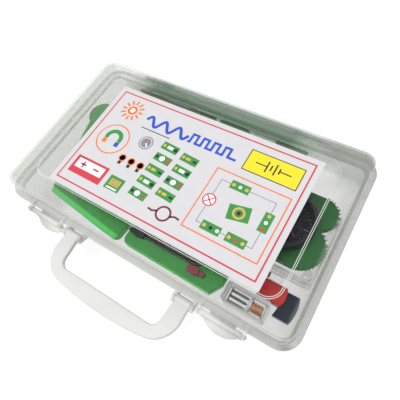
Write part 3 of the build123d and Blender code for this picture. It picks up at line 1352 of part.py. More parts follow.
def clip(plane):
    """A crocodile clip pointing to -x: a tapered sleeve and two toothed jaws, in the open part."""
    with BuildSketch(plane) as sleeve:
        with BuildLine():
            upper = [(-x, y) for x, y in CLIP_SLEEVE]
            lower = [(-x, -y) for x, y in reversed(CLIP_SLEEVE)]
            Polyline(*upper, *lower, close=True)
        make_face()
    extrude(sleeve.sketch, amount=CLIP_SLEEVE_THICK)
    # Each jaw tapers to its tip and has small teeth along both edges.
    root_x = CLIP_SLEEVE[0][0]
    for height in (CLIP_JAW_GAP, CLIP_SLEEVE_THICK - CLIP_JAW_GAP - CLIP_JAW_THICK):
        with BuildSketch(plane.offset(height)) as jaw:
            with BuildLine():
                Polyline((0, CLIP_JAW_TIP), (-root_x, CLIP_JAW_ROOT), (-root_x, -CLIP_JAW_ROOT),
                         (0, -CLIP_JAW_TIP), close=True)
            make_face()
            for tooth in range(CLIP_TEETH):
                share = (tooth + 0.5) / CLIP_TEETH
                half_width = CLIP_JAW_TIP + (CLIP_JAW_ROOT - CLIP_JAW_TIP) * share
                with Locations((-root_x * share, half_width), (-root_x * share, -half_width)):
                    Rectangle(CLIP_TOOTH, CLIP_TOOTH, rotation=45)
        extrude(jaw.sketch, amount=CLIP_JAW_THICK)


def tail_clips(plane):
    """The planes of the two clips at a lead's ends, turned so that each sleeve meets its tail."""
    clip_length = CLIP_SLEEVE[-1][0]
    for tail, side in ((LEAD_LOW_TAIL, -1), (LEAD_HIGH_TAIL + LEAD_WIRE, 1)):
        tip_x = -LEAD_STRAIGHT / 2 - tail - clip_length
        yield upright(*plane.from_local_coords((tip_x, side * LEAD_OUTER_RADIUS, 0)), 180)


with BuildPart() as lead_clips_red:
    for place in (*tail_clips(red_plane), spare_clip_plane):
        clip(place)
save(lead_clips_red, "lead_clips_red")

with BuildPart() as lead_clips_black:
    for place in tail_clips(black_plane):
        clip(place)
save(lead_clips_black, "lead_clips_black")
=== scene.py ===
import json
import math

import bpy
from mathutils import Matrix, Vector


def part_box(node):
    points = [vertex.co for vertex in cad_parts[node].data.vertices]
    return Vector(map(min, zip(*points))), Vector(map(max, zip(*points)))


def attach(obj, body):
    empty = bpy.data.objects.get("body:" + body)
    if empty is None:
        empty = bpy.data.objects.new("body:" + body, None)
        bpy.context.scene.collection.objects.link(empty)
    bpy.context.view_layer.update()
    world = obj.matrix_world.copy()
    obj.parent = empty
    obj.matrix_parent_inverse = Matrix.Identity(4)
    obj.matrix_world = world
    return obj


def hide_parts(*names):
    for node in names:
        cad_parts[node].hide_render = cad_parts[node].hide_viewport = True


# Lengths are in metres, or in millimetres where MM or in_metres turns them into metres

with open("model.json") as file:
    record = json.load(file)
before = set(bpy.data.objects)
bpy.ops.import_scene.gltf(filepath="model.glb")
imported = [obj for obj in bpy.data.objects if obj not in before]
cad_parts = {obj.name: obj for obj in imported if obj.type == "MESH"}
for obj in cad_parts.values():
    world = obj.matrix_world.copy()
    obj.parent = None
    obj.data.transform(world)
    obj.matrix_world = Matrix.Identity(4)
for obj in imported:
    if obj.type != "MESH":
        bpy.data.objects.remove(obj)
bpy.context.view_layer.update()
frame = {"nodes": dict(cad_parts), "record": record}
NODES = frame["nodes"]
MM = 0.001

# Camera, from the fit to the photograph

CAMERA_AT = Vector((0.10878, -0.09006, 0.2471))
CAMERA_RIGHT = Vector((0.8453, 0.5140, -0.1460))
CAMERA_DOWN = Vector((0.4062, -0.7956, -0.4495))
CAMERA_LENS = 32.05
CAMERA_SENSOR = 36.0
CAMERA_NEAREST = 0.01


def make_camera():
    data = bpy.data.cameras.new("photo_camera")
    data.lens = CAMERA_LENS
    data.sensor_width = CAMERA_SENSOR
    data.sensor_fit = "HORIZONTAL"
    data.clip_start = CAMERA_NEAREST
    camera = bpy.data.objects.new("photo_camera", data)
    bpy.context.scene.collection.objects.link(camera)
    right = CAMERA_RIGHT.normalized()
    back = right.cross(-CAMERA_DOWN).normalized()
    up = back.cross(right)
    turn = Matrix((right, up, back)).transposed().to_4x4()
    camera.matrix_world = Matrix.Translation(CAMERA_AT) @ turn
    bpy.context.scene.camera = camera


# Pieces

QUARTER_SIDES = ((1, 1), (-1, 1), (-1, -1), (1, -1))
CORD_BEVEL = 4
CORD_RESOLUTION = 8


def add(name, data, look, body):
    """Put a mesh or curve in the scene with its look, riding on a body of the frame."""
    data.materials.append(look)
    piece = bpy.data.objects.new(name, data)
    bpy.context.scene.collection.objects.link(piece)
    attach(piece, body)
    return piece


def mesh_of(name, points, faces):
    mesh = bpy.data.meshes.new(name)
    mesh.from_pydata(points, [], faces)
    mesh.update()
    return mesh


def round_curve(name, radius, bevel):
    """An empty curve that gives its splines a round section with closed ends."""
    curve = bpy.data.curves.new(name, "CURVE")
    curve.dimensions = "3D"
    curve.bevel_depth = radius
    curve.bevel_resolution = bevel
    curve.use_fill_caps = True
    return curve


def add_spline(curve, kind, route):
    spline = curve.splines.new(kind)
    spline.points.add(len(route) - 1)
    for point, place in zip(spline.points, route):
        point.co = (*place, 1.0)
    return spline


def line_curve(name, runs, radius, closed=False, bevel=3):
    """A round tube along each run of points, all in one curve."""
    curve = round_curve(name, radius, bevel)
    for run in runs:
        add_spline(curve, "POLY", run).use_cyclic_u = closed
    return curve


def cord_curve(name, route, radius):
    """One open NURBS spline with the route as its control points."""
    curve = round_curve(name, radius, CORD_BEVEL)
    curve.resolution_u = CORD_RESOLUTION
    spline = add_spline(curve, "NURBS", route)
    spline.order_u = 3
    spline.use_endpoint_u = True
    return curve


def rounded_loop(length, width, corner, z, centre=(0.0, 0.0), steps=8):
    """A rounded rectangle at height z, as points, with each corner in as many steps as asked."""
    points = []
    for quarter, (side_x, side_y) in enumerate(QUARTER_SIDES):
        middle_x = centre[0] + side_x * (length / 2 - corner)
        middle_y = centre[1] + side_y * (width / 2 - corner)
        for step in range(steps + 1):
            angle = (quarter + step / steps) * math.pi / 2
            points.append((middle_x + corner * math.cos(angle), middle_y + corner * math.sin(angle), z))
    return points


def in_metres(run):
    return [tuple(value * MM for value in point) for point in run]


def box_in_millimetres(node):
    return ([value / MM for value in corner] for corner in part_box(node))


# Materials

# The Mix node's colour sockets, which share their names with its number sockets
MIX_FIRST, MIX_SECOND, MIX_RESULT = 6, 7, 2


class Shader:
    """A node material, with short helpers for its textures, mixes and bumps."""

    def __init__(self, name):
        self.material = bpy.data.materials.new(name)
        self.material.use_nodes = True
        self.nodes = self.material.node_tree.nodes
        self.links = self.material.node_tree.links
        self.bsdf = self.nodes["Principled BSDF"]
        self.place = self.nodes.new("ShaderNodeTexCoord").outputs["Object"]

    def noise(self, scale, detail=3.0, stretch=(1.0, 1.0, 1.0), distortion=0.0):
        mapping = self.nodes.new("ShaderNodeMapping")
        mapping.inputs["Scale"].default_value = stretch
        self.links.new(self.place, mapping.inputs["Vector"])
        texture = self.nodes.new("ShaderNodeTexNoise")
        texture.inputs["Scale"].default_value = scale
        texture.inputs["Detail"].default_value = detail
        texture.inputs["Distortion"].default_value = distortion
        self.links.new(mapping.outputs["Vector"], texture.inputs["Vector"])
        return texture.outputs["Fac"]

    def bands(self, scale, axis):
        texture = self.nodes.new("ShaderNodeTexWave")
        texture.bands_direction = axis
        texture.inputs["Scale"].default_value = scale
        self.links.new(self.place, texture.inputs["Vector"])
        return texture.outputs["Fac"]

    def ramp(self, value, low, high, low_at=0.3, high_at=0.7):
        """From low to high while the value goes from low_at to high_at."""
        node = self.nodes.new("ShaderNodeMapRange")
        for name, number in (("From Min", low_at), ("From Max", high_at), ("To Min", low), ("To Max", high)):
            node.inputs[name].default_value = number
        self.links.new(value, node.inputs["Value"])
        return node.outputs["Result"]

    def mix(self, factor, first, second):
        node = self.nodes.new("ShaderNodeMix")
        node.data_type = "RGBA"
        self.links.new(factor, node.inputs["Factor"])
        for value, socket in ((first, node.inputs[MIX_FIRST]), (second, node.inputs[MIX_SECOND])):
            if isinstance(value, tuple):
                socket.default_value = (*value, 1.0)
            else:
                self.links.new(value, socket)
        return node.outputs[MIX_RESULT]

    def math(self, operation, first, second):
        node = self.nodes.new("ShaderNodeMath")
        node.operation = operation
        for value, socket in ((first, node.inputs[0]), (second, node.inputs[1])):
            if isinstance(value, (int, float)):
                socket.default_value = value
            else:
                self.links.new(value, socket)
        return node.outputs[0]

    def facing(self, blend):
        node = self.nodes.new("ShaderNodeLayerWeight")
        node.inputs["Blend"].default_value = blend
        return node.outputs["Facing"]

    def upward(self):
        """1 on faces that look up or down, 0 on upright ones."""
        split = self.nodes.new("ShaderNodeSeparateXYZ")
        normal = self.nodes.new("ShaderNodeNewGeometry").outputs["Normal"]
        self.links.new(normal, split.inputs["Vector"])
        return self.math("ABSOLUTE", split.outputs["Z"], 0.0)

    def along(self, way):
        """How far a point lies along a direction from the frame's origin."""
        node = self.nodes.new("ShaderNodeVectorMath")
        node.operation = "DOT_PRODUCT"
        self.links.new(self.place, node.inputs[0])
        node.inputs[1].default_value = way
        return node.outputs["Value"]

    def put(self, value, socket):
        self.links.new(value, self.bsdf.inputs[socket])

    def roughen(self, pattern, rough, below, above):
        self.put(self.ramp(pattern, rough - below, rough + above), "Roughness")

    def bump(self, height, strength, distance):
        node = self.nodes.new("ShaderNodeBump")
        node.inputs["Strength"].default_value = strength
        node.inputs["Distance"].default_value = distance
        self.links.new(height, node.inputs["Height"])
        self.links.new(node.outputs["Normal"], self.bsdf.inputs["Normal"])


def shade(colour, factor):
    return tuple(min(1.0, channel * factor) for channel in colour)


# Each noise's scale and detail, from slow drifts of colour to fine grain
CLEAR_FLOW, CLEAR_DRIFT, CLEAR_RIPPLE, CLEAR_GRAIN = (26.0, 4.0), (30.0, 3.0), (60.0, 2.0), (380.0, 5.0)
PLASTIC_DRIFT, PLASTIC_GRAIN, PLASTIC_PEEL = (60.0, 4.0), (260.0, 5.0), (500.0, 2.0)
METAL_TARNISH, METAL_MARKS = (140.0, 5.0), (900.0, 3.0)
COPPER_DRIFT, COPPER_GRAIN, COPPER_PEEL = (300.0, 4.0), (900.0, 3.0), (1500.0, 2.0)
PAPER_DRIFT, PAPER_GRAIN, PAPER_FIBRE = (220.0, 6.0), (500.0, 4.0), (700.0, 2.0)
METAL_MARKS_STRETCH = (1.0, 1.0, 6.0)
CLEAR_FLOW_DISTORTION = 0.8
SCREW_THREAD_SCALE = 180.0
WINDING_TURNS_SCALE = 420.0

# Each bump's strength and distance
PLASTIC_BUMP = (0.15, 0.00003)
METAL_BUMP = (0.3, 0.00002)
THREAD_BUMP = (0.9, 0.0004)
COPPER_BUMP = (0.2, 0.00002)
WINDING_BUMP = (0.8, 0.00025)
PAPER_BUMP = (0.12, 0.00002)
CLEAR_BUMP = (0.12, 0.0001)

ACRYLIC_IOR = 1.49
FACING_BLEND = 0.3
FRONT_FADE = 1.4
TARNISHED = 0.72
YELLOWED = 0.94
ENAMEL_METALLIC = 0.6
ENAMEL_COAT = 0.4


def moulded(name, colour, rough=0.35, spread=0.10, edge=None, coat=0.0, front=None, gloss=0.5):
    """An opaque moulded plastic: slow drift, flow marks and grain, with painted light and shade: its upright
    faces take the edge colour as lighter or darker sides, as the light falls on them, and a painted lit
    strip runs along the front where asked.
    """
    shader = Shader(name)
    drift = shader.ramp(shader.noise(*PLASTIC_DRIFT), 0.0, 1.0)
    tone = shader.mix(drift, shade(colour, 1 - spread), shade(colour, 1 + spread))
    # Painted light and shade: upright faces take the edge colour, lighter or darker than the top as the
    # light falls on them
    if edge:
        upright = shader.ramp(shader.upward(), 1.0, 0.0, 0.1, 0.8)
        tone = shader.mix(upright, tone, edge)
    # Painted highlight: a lit strip along the front, in the edge colour
    if front:
        way, start, width = front
        band = shader.ramp(shader.along(way), 1.0, 0.0, start + width, start + FRONT_FADE * width)
        tone = shader.mix(band, tone, edge)
    shader.put(tone, "Base Color")
    shader.roughen(shader.noise(*PLASTIC_GRAIN), rough, 0.08, 0.1)
    shader.bump(shader.noise(*PLASTIC_PEEL), *PLASTIC_BUMP)
    shader.bsdf.inputs["Coat Weight"].default_value = coat
    shader.bsdf.inputs["Specular IOR Level"].default_value = gloss
    return shader.material


def metal(name, colour, rough=0.28, thread=0.0):
    """A bright metal with pressed marks and a little tarnish, and a screw thread where asked."""
    shader = Shader(name)
    tarnish = shader.ramp(shader.noise(*METAL_TARNISH), 0.0, 1.0, 0.35, 0.75)
    shader.put(shader.mix(tarnish, colour, shade(colour, TARNISHED)), "Base Color")
    marks = shader.noise(*METAL_MARKS, METAL_MARKS_STRETCH)
    shader.roughen(marks, rough, 0.08, 0.14)
    if thread:
        shader.bump(shader.bands(thread, "Z"), *THREAD_BUMP)
    else:
        shader.bump(marks, *METAL_BUMP)
    shader.bsdf.inputs["Metallic"].default_value = 1.0
    return shader.material


def copper_wire(name, colour, turns=0.0):
    """Enamelled copper wire, with fine turns along X where the piece is a solid winding."""
    shader = Shader(name)
    drift = shader.ramp(shader.noise(*COPPER_DRIFT), 0.0, 1.0)
    shader.put(shader.mix(drift, shade(colour, 0.8), shade(colour, 1.15)), "Base Color")
    shader.put(shader.ramp(shader.noise(*COPPER_GRAIN), 0.22, 0.4), "Roughness")
    if turns:
        shader.bump(shader.bands(turns, "X"), *WINDING_BUMP)
    else:
        shader.bump(shader.noise(*COPPER_PEEL), *COPPER_BUMP)
    shader.bsdf.inputs["Metallic"].default_value = ENAMEL_METALLIC
    shader.bsdf.inputs["Coat Weight"].default_value = ENAMEL_COAT
    return shader.material


def paper(name, colour, spread=0.02):
    """Coated card, or ink printed on it, with a faint fibre grain."""
    shader = Shader(name)
    drift = shader.ramp(shader.noise(*PAPER_DRIFT), 0.0, 1.0)
    shader.put(shader.mix(drift, shade(colour, 1 - spread), shade(colour, 1 + spread)), "Base Color")
    shader.put(shader.ramp(shader.noise(*PAPER_GRAIN), 0.42, 0.55), "Roughness")
    shader.bump(shader.noise(*PAPER_FIBRE), *PAPER_BUMP)
    return shader.material


def clear(name, tint, face, edge, rough, haze=0.03, veils=None):
    """A clear or milky plastic with flow marks: face is its opacity seen square on, edge aslant."""
    shader = Shader(name)
    drift = shader.ramp(shader.noise(*CLEAR_DRIFT), 0.0, 1.0)
    tone = shader.mix(drift, tint, shade(tint, YELLOWED))
    flow = shader.ramp(shader.noise(*CLEAR_FLOW, distortion=CLEAR_FLOW_DISTORTION), -haze, haze)
    rim = shader.ramp(shader.facing(FACING_BLEND), face, edge, 0.1, 0.95)
    opacity = shader.math("ADD", rim, flow)
    if veils:
        tone, opacity = veils(shader, tone, opacity)
    shader.put(tone, "Base Color")
    shader.put(opacity, "Alpha")
    shader.roughen(shader.noise(*CLEAR_GRAIN), rough, 0.0, 0.1)
    shader.bump(shader.noise(*CLEAR_RIPPLE), *CLEAR_BUMP)
    shader.bsdf.inputs["IOR"].default_value = ACRYLIC_IOR
    return shader.material


# Tints in the clear plastic: milky thick walls, painted shade at the ends and the back corner, a painted
# sheen on the lid's left end, and the green contents that the thick back wall bends and blurs

LEFT, RIGHT, BACK, FRONT = (-1, 0, 0), (1, 0, 0), (0, 1, 0), (0, -1, 0)
LID_MILK_AND_SHEEN = (0.60, 0.62, 0.55)
CASE_MILK = (0.73, 0.745, 0.70)
WALL_MILK = (0.80, 0.80, 0.76)
SHADOW_GREY = (0.30, 0.31, 0.275)
SHADOW_BEIGE = (0.42, 0.435, 0.36)
DEEP_GREEN = (0.030, 0.105, 0.040)
GREY_GREEN = (0.17, 0.24, 0.175)

# Each has its windows, a colour and an opacity. A window opens from its start to its full reach along a
# direction, and a tint shows where all its windows are open.
CASE_TINTS = (
    ([(FRONT, 0.061, 0.068)], WALL_MILK, 0.50),
    ([(LEFT, 0.068, 0.092)], SHADOW_BEIGE, 0.27),
    ([(RIGHT, 0.088, 0.108)], SHADOW_GREY, 0.19),
    ([(RIGHT, 0.070, 0.100), (FRONT, 0.042, 0.064)], SHADOW_GREY, 0.20),
)
# The lid's left-end tint is a painted sheen in its milky colour; the grey tints are painted shade on its
# right end and back corner
LID_TINTS = (
    ([(LEFT, 0.100, 0.112)], LID_MILK_AND_SHEEN, 0.27),
    ([(FRONT, 0.0635, 0.067)], WALL_MILK, 0.35),
    ([(RIGHT, 0.108, 0.114)], SHADOW_GREY, 0.28),
    ([(BACK, 0.024, 0.044), (RIGHT, 0.086, 0.100)], SHADOW_GREY, 0.40),
    ([(BACK, 0.036, 0.056), (RIGHT, 0.050, 0.090)], SHADOW_GREY, 0.46),
)
STREAK_WINDOWS = (
    (BACK, 0.044, 0.049),
    (FRONT, -0.069, -0.064),
    (RIGHT, -0.094, -0.058),
    (LEFT, -0.100, -0.060),
)
STREAKS = (22.0, 4.0)
STREAK_STRETCH = (0.25, 7.0, 7.0)
STREAK_DISTORTION = 0.3
STREAK_DEEP_TO, STREAK_GREY_FROM = 0.050, 0.064


def veil(shader, tone, opacity, windows, colour, strength):
    """Tint the plastic where every window is open."""
    share = None
    for way, start, full in windows:
        step = shader.ramp(shader.along(way), 0.0, 1.0, start, full)
        share = step if share is None else shader.math("MULTIPLY", share, step)
    tone = shader.mix(share, tone, colour)
    return tone, shader.math("MAXIMUM", opacity, shader.math("MULTIPLY", share, strength))


def veils_in_turn(shader, tone, opacity, tints):
    for windows, colour, strength in tints:
        tone, opacity = veil(shader, tone, opacity, windows, colour, strength)
    return tone, opacity


def case_veils(shader, tone, opacity):
    """The thick front wall of the tray is milky, and its two ends lie in shade."""
    return veils_in_turn(shader, tone, opacity, CASE_TINTS)


def lid_veils(shader, tone, opacity):
    """A painted sheen on the left end, a milky front, painted shade on the right end and the back corner,
    and the green contents in streaks along the back.
    """
    tone, opacity = veils_in_turn(shader, tone, opacity, LID_TINTS)
    depth = shader.ramp(shader.along(BACK), 0.0, 1.0, STREAK_DEEP_TO, STREAK_GREY_FROM)
    green = shader.mix(depth, DEEP_GREEN, GREY_GREEN)
    streaks = shader.noise(*STREAKS, STREAK_STRETCH, STREAK_DISTORTION)
    return veil(shader, tone, opacity, STREAK_WINDOWS, green, shader.ramp(streaks, 0.40, 0.72))


# Colours and looks

# The paler green beside each green is painted light, for the lit upright sides of the plastic
BOARD_GREEN = (0.012, 0.235, 0.022)
BOARD_LIT_SIDE = (0.06, 0.52, 0.09)
BASE_GREEN = (0.012, 0.125, 0.025)
BASE_LIT_SIDE = (0.02, 0.20, 0.04)
TRAY_GREEN = (0.02, 0.15, 0.045)
TRAY_LIT_SIDE = (0.03, 0.25, 0.07)
BOX_TINT = (0.80, 0.82, 0.80)
GLASS_TINT = (0.80, 0.84, 0.84)
# The next two tints colour the painted highlight lines along the clear plastic's edges
HIGHLIGHT_TINT = (0.90, 0.91, 0.89)
SOFT_HIGHLIGHT_TINT = (0.86, 0.87, 0.84)
FROSTED_GREY = (0.73, 0.73, 0.72)
BRASS = (0.75, 0.55, 0.25)
COPPER = (0.85, 0.32, 0.09)
# The second, darker colour of each magnet is painted shade, for its shaded upright sides
MAGNET_RED, MAGNET_RED_SHADED_SIDE = (0.52, 0.022, 0.02), (0.26, 0.01, 0.015)
MAGNET_BLUE, MAGNET_BLUE_SHADED_SIDE = (0.010, 0.017, 0.042), (0.006, 0.009, 0.02)


def make_clear_looks():
    return {
        "clear_case": clear("case_milky", CASE_MILK, 0.12, 0.80, 0.2, haze=0.02, veils=case_veils),
        "clear_lid": clear("lid_clear", LID_MILK_AND_SHEEN, 0.010, 0.60, 0.08, haze=0.005, veils=lid_veils),
        "clear_box": clear("box_clear", BOX_TINT, 0.05, 0.60, 0.05, haze=0.015),
        "clear_glass": clear("glass_clear", GLASS_TINT, 0.006, 0.4, 0.02, haze=0.004),
        # Painted highlights: the looks of the bright lines laid along edges
        "highlight_line": clear("painted_highlight", HIGHLIGHT_TINT, 0.75, 0.9, 0.12, haze=0.04),
        "soft_highlight": clear("soft_highlight", SOFT_HIGHLIGHT_TINT, 0.35, 0.6, 0.2, haze=0.04),
        "handle_grey": clear("handle_frosted", FROSTED_GREY, 0.86, 0.95, 0.30),
    }


def make_plastic_looks():
    return {
        "board_green": moulded("board_green", BOARD_GREEN, 0.32, edge=BOARD_LIT_SIDE, coat=0.2),
        "base_green": moulded("base_green", BASE_GREEN, 0.38, edge=BASE_LIT_SIDE, gloss=0.3),
        "tray_plastic": moulded("tray_green", TRAY_GREEN, 0.4, edge=TRAY_LIT_SIDE),
        "black_plastic": moulded("black_plastic", (0.012, 0.013, 0.018), 0.42, gloss=0.3),
        "dial_dark": moulded("dial_dark", (0.012, 0.014, 0.024), 0.5, gloss=0.2),
        "white_plastic": moulded("white_plastic", (0.82, 0.82, 0.80), spread=0.03),
        "red_plastic": moulded("red_plastic", (0.62, 0.03, 0.03), 0.3, coat=0.2),
        "clip_red": moulded("clip_red", (0.20, 0.012, 0.03), 0.4),
        "magnet_red": moulded("magnet_red", MAGNET_RED, 0.3, edge=MAGNET_RED_SHADED_SIDE, gloss=0.4),
        "magnet_blue": moulded("magnet_blue", MAGNET_BLUE, edge=MAGNET_BLUE_SHADED_SIDE, gloss=0.3),
        "lead_red": moulded("lead_red", (0.45, 0.03, 0.02), 0.38, coat=0.1),
        "lead_black": moulded("lead_black", (0.02, 0.02, 0.02), 0.4, coat=0.1),
        "needle_red": moulded("needle_red", (0.35, 0.02, 0.02), 0.3),
        "needle_white": moulded("needle_white", (0.5, 0.5, 0.52), 0.3),
        "tick_pale": moulded("tick_pale", (0.13, 0.13, 0.15), 0.5),
    }


def make_metal_looks():
    return {
        "brass": metal("brass", BRASS),
        "brass_thread": metal("brass_thread", BRASS, thread=SCREW_THREAD_SCALE),
        "steel": metal("steel", (0.62, 0.63, 0.65)),
        "iron": metal("iron", (0.32, 0.32, 0.33), rough=0.42),
        "copper": copper_wire("copper_wire", COPPER),
        "copper_band": copper_wire("copper_band", COPPER, WINDING_TURNS_SCALE),
    }


def make_looks():
    card = {"card": paper("card_white", (0.62, 0.615, 0.635))}
    return {**make_clear_looks(), **make_plastic_looks(), **make_metal_looks(), **card}


LOOKED_APART = {
    "compass_dial": "dial_dark",
    "electromagnet_base": "board_green",
    "lead_clips_red": "clip_red",
    "motor_winding": "copper_band",
    "terminal_posts": "brass_thread",
    "lamp_left_bulb_cap": "brass_thread",
    "lamp_right_bulb_cap": "brass_thread",
}

# Each lamp board's turn in degrees, and the width of its painted lit front strip
LAMP_BOARDS = {"lamp_left_board": (-6.6, 0.0032), "lamp_right_board": (-1.0, 0.0007)}


def make_board_looks():
    """Each lamp board's front strip catches the light, along its own turned front edge."""
    looks = {}
    for node, (turn, width) in LAMP_BOARDS.items():
        angle = math.radians(turn)
        way = Vector((-math.sin(angle), math.cos(angle), 0.0))
        start = min(vertex.co @ way for vertex in NODES[node].data.vertices)
        looks[node] = moulded(node + "_green", BOARD_GREEN, 0.32, edge=BOARD_LIT_SIDE, coat=0.2,
                              front=(tuple(way), start, width))
    return looks


def dress_nodes(looks):
    """Give each node the look of its slot, or one of its own."""
    board_looks = make_board_looks()
    for entry in frame["record"]["subparts"]:
        node, slot = entry["node"], entry["material_slot"]
        look = board_looks.get(node) or looks[LOOKED_APART.get(node, slot)]
        materials = NODES[node].data.materials
        materials.clear()
        materials.append(look)


# Leads: the flat two-layer coils of part.py, with the same sizes

LEAD_WIRE = 1.8
LEAD_PITCH = 2.9
LEAD_RISE = 2.6
LEAD_OUTER_RADIUS = 10.0
LEAD_LAYER_HALF_TURNS = 4
LEAD_STRAIGHT = 33.0
LEAD_LOW_TAIL = 4.0
LEAD_HIGH_TAIL = 8.0
POINTS_PER_HALF_TURN = 8
RED_LEAD_AT = (-44.0, 50.6, 21.5)
BLACK_LEAD_AT = (26.0, -42.6, 32.1)


def lead_route(at):
    """Spiral in along the lower layer, climb in the innermost half turn, and spiral out above."""
    half_turns = 2 * LEAD_LAYER_HALF_TURNS + 1
    low, high = LEAD_WIRE / 2, LEAD_WIRE / 2 + LEAD_RISE
    start_x = -LEAD_STRAIGHT / 2
    route = [(start_x - LEAD_LOW_TAIL, -LEAD_OUTER_RADIUS, low)]
    for half in range(half_turns):
        side = 1 if half % 2 == 0 else -1
        ends = []
        for done in (half, half + 1):
            radius = LEAD_OUTER_RADIUS - min(done, half_turns - done) * LEAD_PITCH / 2
            ends.append((radius if done % 2 else -radius, low if done <= LEAD_LAYER_HALF_TURNS else high))
        (y_from, z_from), (y_to, z_to) = ends
        for step in range(POINTS_PER_HALF_TURN + 1):
            angle = (step / POINTS_PER_HALF_TURN - 0.5) * math.pi
            swing = math.sin(angle)
            x = side * (LEAD_STRAIGHT / 2 + abs(y_to - y_from) / 2 * math.cos(angle))
            y = (y_from + y_to) / 2 + (y_to - y_from) / 2 * swing
            route.append((x, y, z_from + (z_to - z_from) * (1 + swing) / 2))
    route += [
        (start_x - LEAD_HIGH_TAIL / 4, LEAD_OUTER_RADIUS, high),
        (start_x - 3 * LEAD_HIGH_TAIL / 4, LEAD_OUTER_RADIUS, low),
        (start_x - LEAD_HIGH_TAIL, LEAD_OUTER_RADIUS, low),
        (start_x - LEAD_HIGH_TAIL - LEAD_WIRE, LEAD_OUTER_RADIUS, low),
    ]
    return [tuple((origin + offset) * MM for origin, offset in zip(at, point)) for point in route]


def make_leads(looks):
    for colour, at in (("red", RED_LEAD_AT), ("black", BLACK_LEAD_AT)):
        route = lead_route(at)
        curve = cord_curve(f"lead_{colour}_wire", route, LEAD_WIRE / 2 * MM)
        lead = add(f"lead_{colour}_wire", curve, looks[f"lead_{colour}"], "case")
        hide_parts(f"lead_{colour}_coil")


# Painted highlights: bright lines laid along the edges of the clear plastic, where they catch the light

HIGHLIGHT_LINE_RADIUS = 0.22
PANEL_SIZE = (200.0, 103.0, 10.0)
PANEL_RIB = 1.6
FLANGE_SIZE = (239.4, 141.4, 12.7)
FLANGE_TOP = 25.6
LID_EDGE_SIZE = (231.2, 133.2, 8.6)
LID_EDGE_TOP = 38.8
BOX_CORNER = 2.0
BOX_WALL = 1.0
CORNER_LINE_INSET = 1.0


def add_lines(name, runs, look, body, closed):
    curve = line_curve(name, [in_metres(run) for run in runs], HIGHLIGHT_LINE_RADIUS * MM, closed)
    add(name, curve, look, body)


def make_highlight_lines(looks):
    """Painted highlights as bright lines on the lid's raised rib, on its rim and flange, and on the clear
    boxes.
    """
    length, width, corner = PANEL_SIZE
    rib_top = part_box("case_lid")[1][2] / MM - HIGHLIGHT_LINE_RADIUS
    rib = []
    for inset in (HIGHLIGHT_LINE_RADIUS, PANEL_RIB - HIGHLIGHT_LINE_RADIUS):
        rib.append(rounded_loop(length - 2 * inset, width - 2 * inset, corner - inset, rib_top))
    add_lines("lid_panel_highlights", rib, looks["highlight_line"], "lid", closed=True)
    rims = [rounded_loop(*FLANGE_SIZE, FLANGE_TOP), rounded_loop(*LID_EDGE_SIZE, LID_EDGE_TOP)]
    add_lines("lid_rim_highlights", rims, looks["soft_highlight"], "lid", closed=True)
    for node in ("parts_box", "wire_box"):
        make_box_highlights(looks, node)


def make_box_highlights(looks, node):
    """Painted highlights as bright lines round a clear box's rim and foot, inside and out, and down its
    corners.
    """
    low, high = box_in_millimetres(node)
    middle = ((low[0] + high[0]) / 2, (low[1] + high[1]) / 2)
    length, width = high[0] - low[0], high[1] - low[1]
    top, foot = high[2] - HIGHLIGHT_LINE_RADIUS, low[2] + HIGHLIGHT_LINE_RADIUS
    rims = []
    for inset, z in ((HIGHLIGHT_LINE_RADIUS, top), (BOX_WALL, top), (HIGHLIGHT_LINE_RADIUS, foot)):
        rims.append(rounded_loop(length - 2 * inset, width - 2 * inset, BOX_CORNER - inset, z, middle))
    add_lines(node + "_rim_highlights", rims, looks["highlight_line"], "case", closed=True)
    corners = []
    for side_x in (-1, 1):
        for side_y in (-1, 1):
            x = middle[0] + side_x * (length / 2 - CORNER_LINE_INSET)
            y = middle[1] + side_y * (width / 2 - CORNER_LINE_INSET)
            corners.append([(x, y, foot), (x, y, top)])
    add_lines(node + "_corner_highlights", corners, looks["soft_highlight"], "case", closed=False)


# Print on the card

INKS = {
    "red": (0.62, 0.035, 0.06),
    "orange": (0.85, 0.17, 0.02),
    "blue": (0.02, 0.07, 0.55),
    "yellow": (0.90, 0.70, 0.01),
    "black": (0.012, 0.014, 0.02),
    "green": (0.035, 0.27, 0.05),
    "white": (0.84, 0.85, 0.86),
    "wine": (0.16, 0.012, 0.02),
    "grey": (0.22, 0.24, 0.27),
    "brass": (0.70, 0.42, 0.10),
}
INK_SPREAD = 0.04
INK_LAYER = 0.012
SHARPEST_MITRE = 0.4
DISC_STEPS, SMALL_DISC_STEPS, RING_STEPS = 28, 14, 40


def unit(start, end):
    u, v = end[0] - start[0], end[1] - start[1]
    size = math.hypot(u, v) or 1.0
    return u / size, v / size


def turned(centre, u, v, degrees):
    """The point (u, v) from a centre, turned about it."""
    c, s = math.cos(math.radians(degrees)), math.sin(math.radians(degrees))
    return centre[0] + u * c - v * s, centre[1] + u * s + v * c


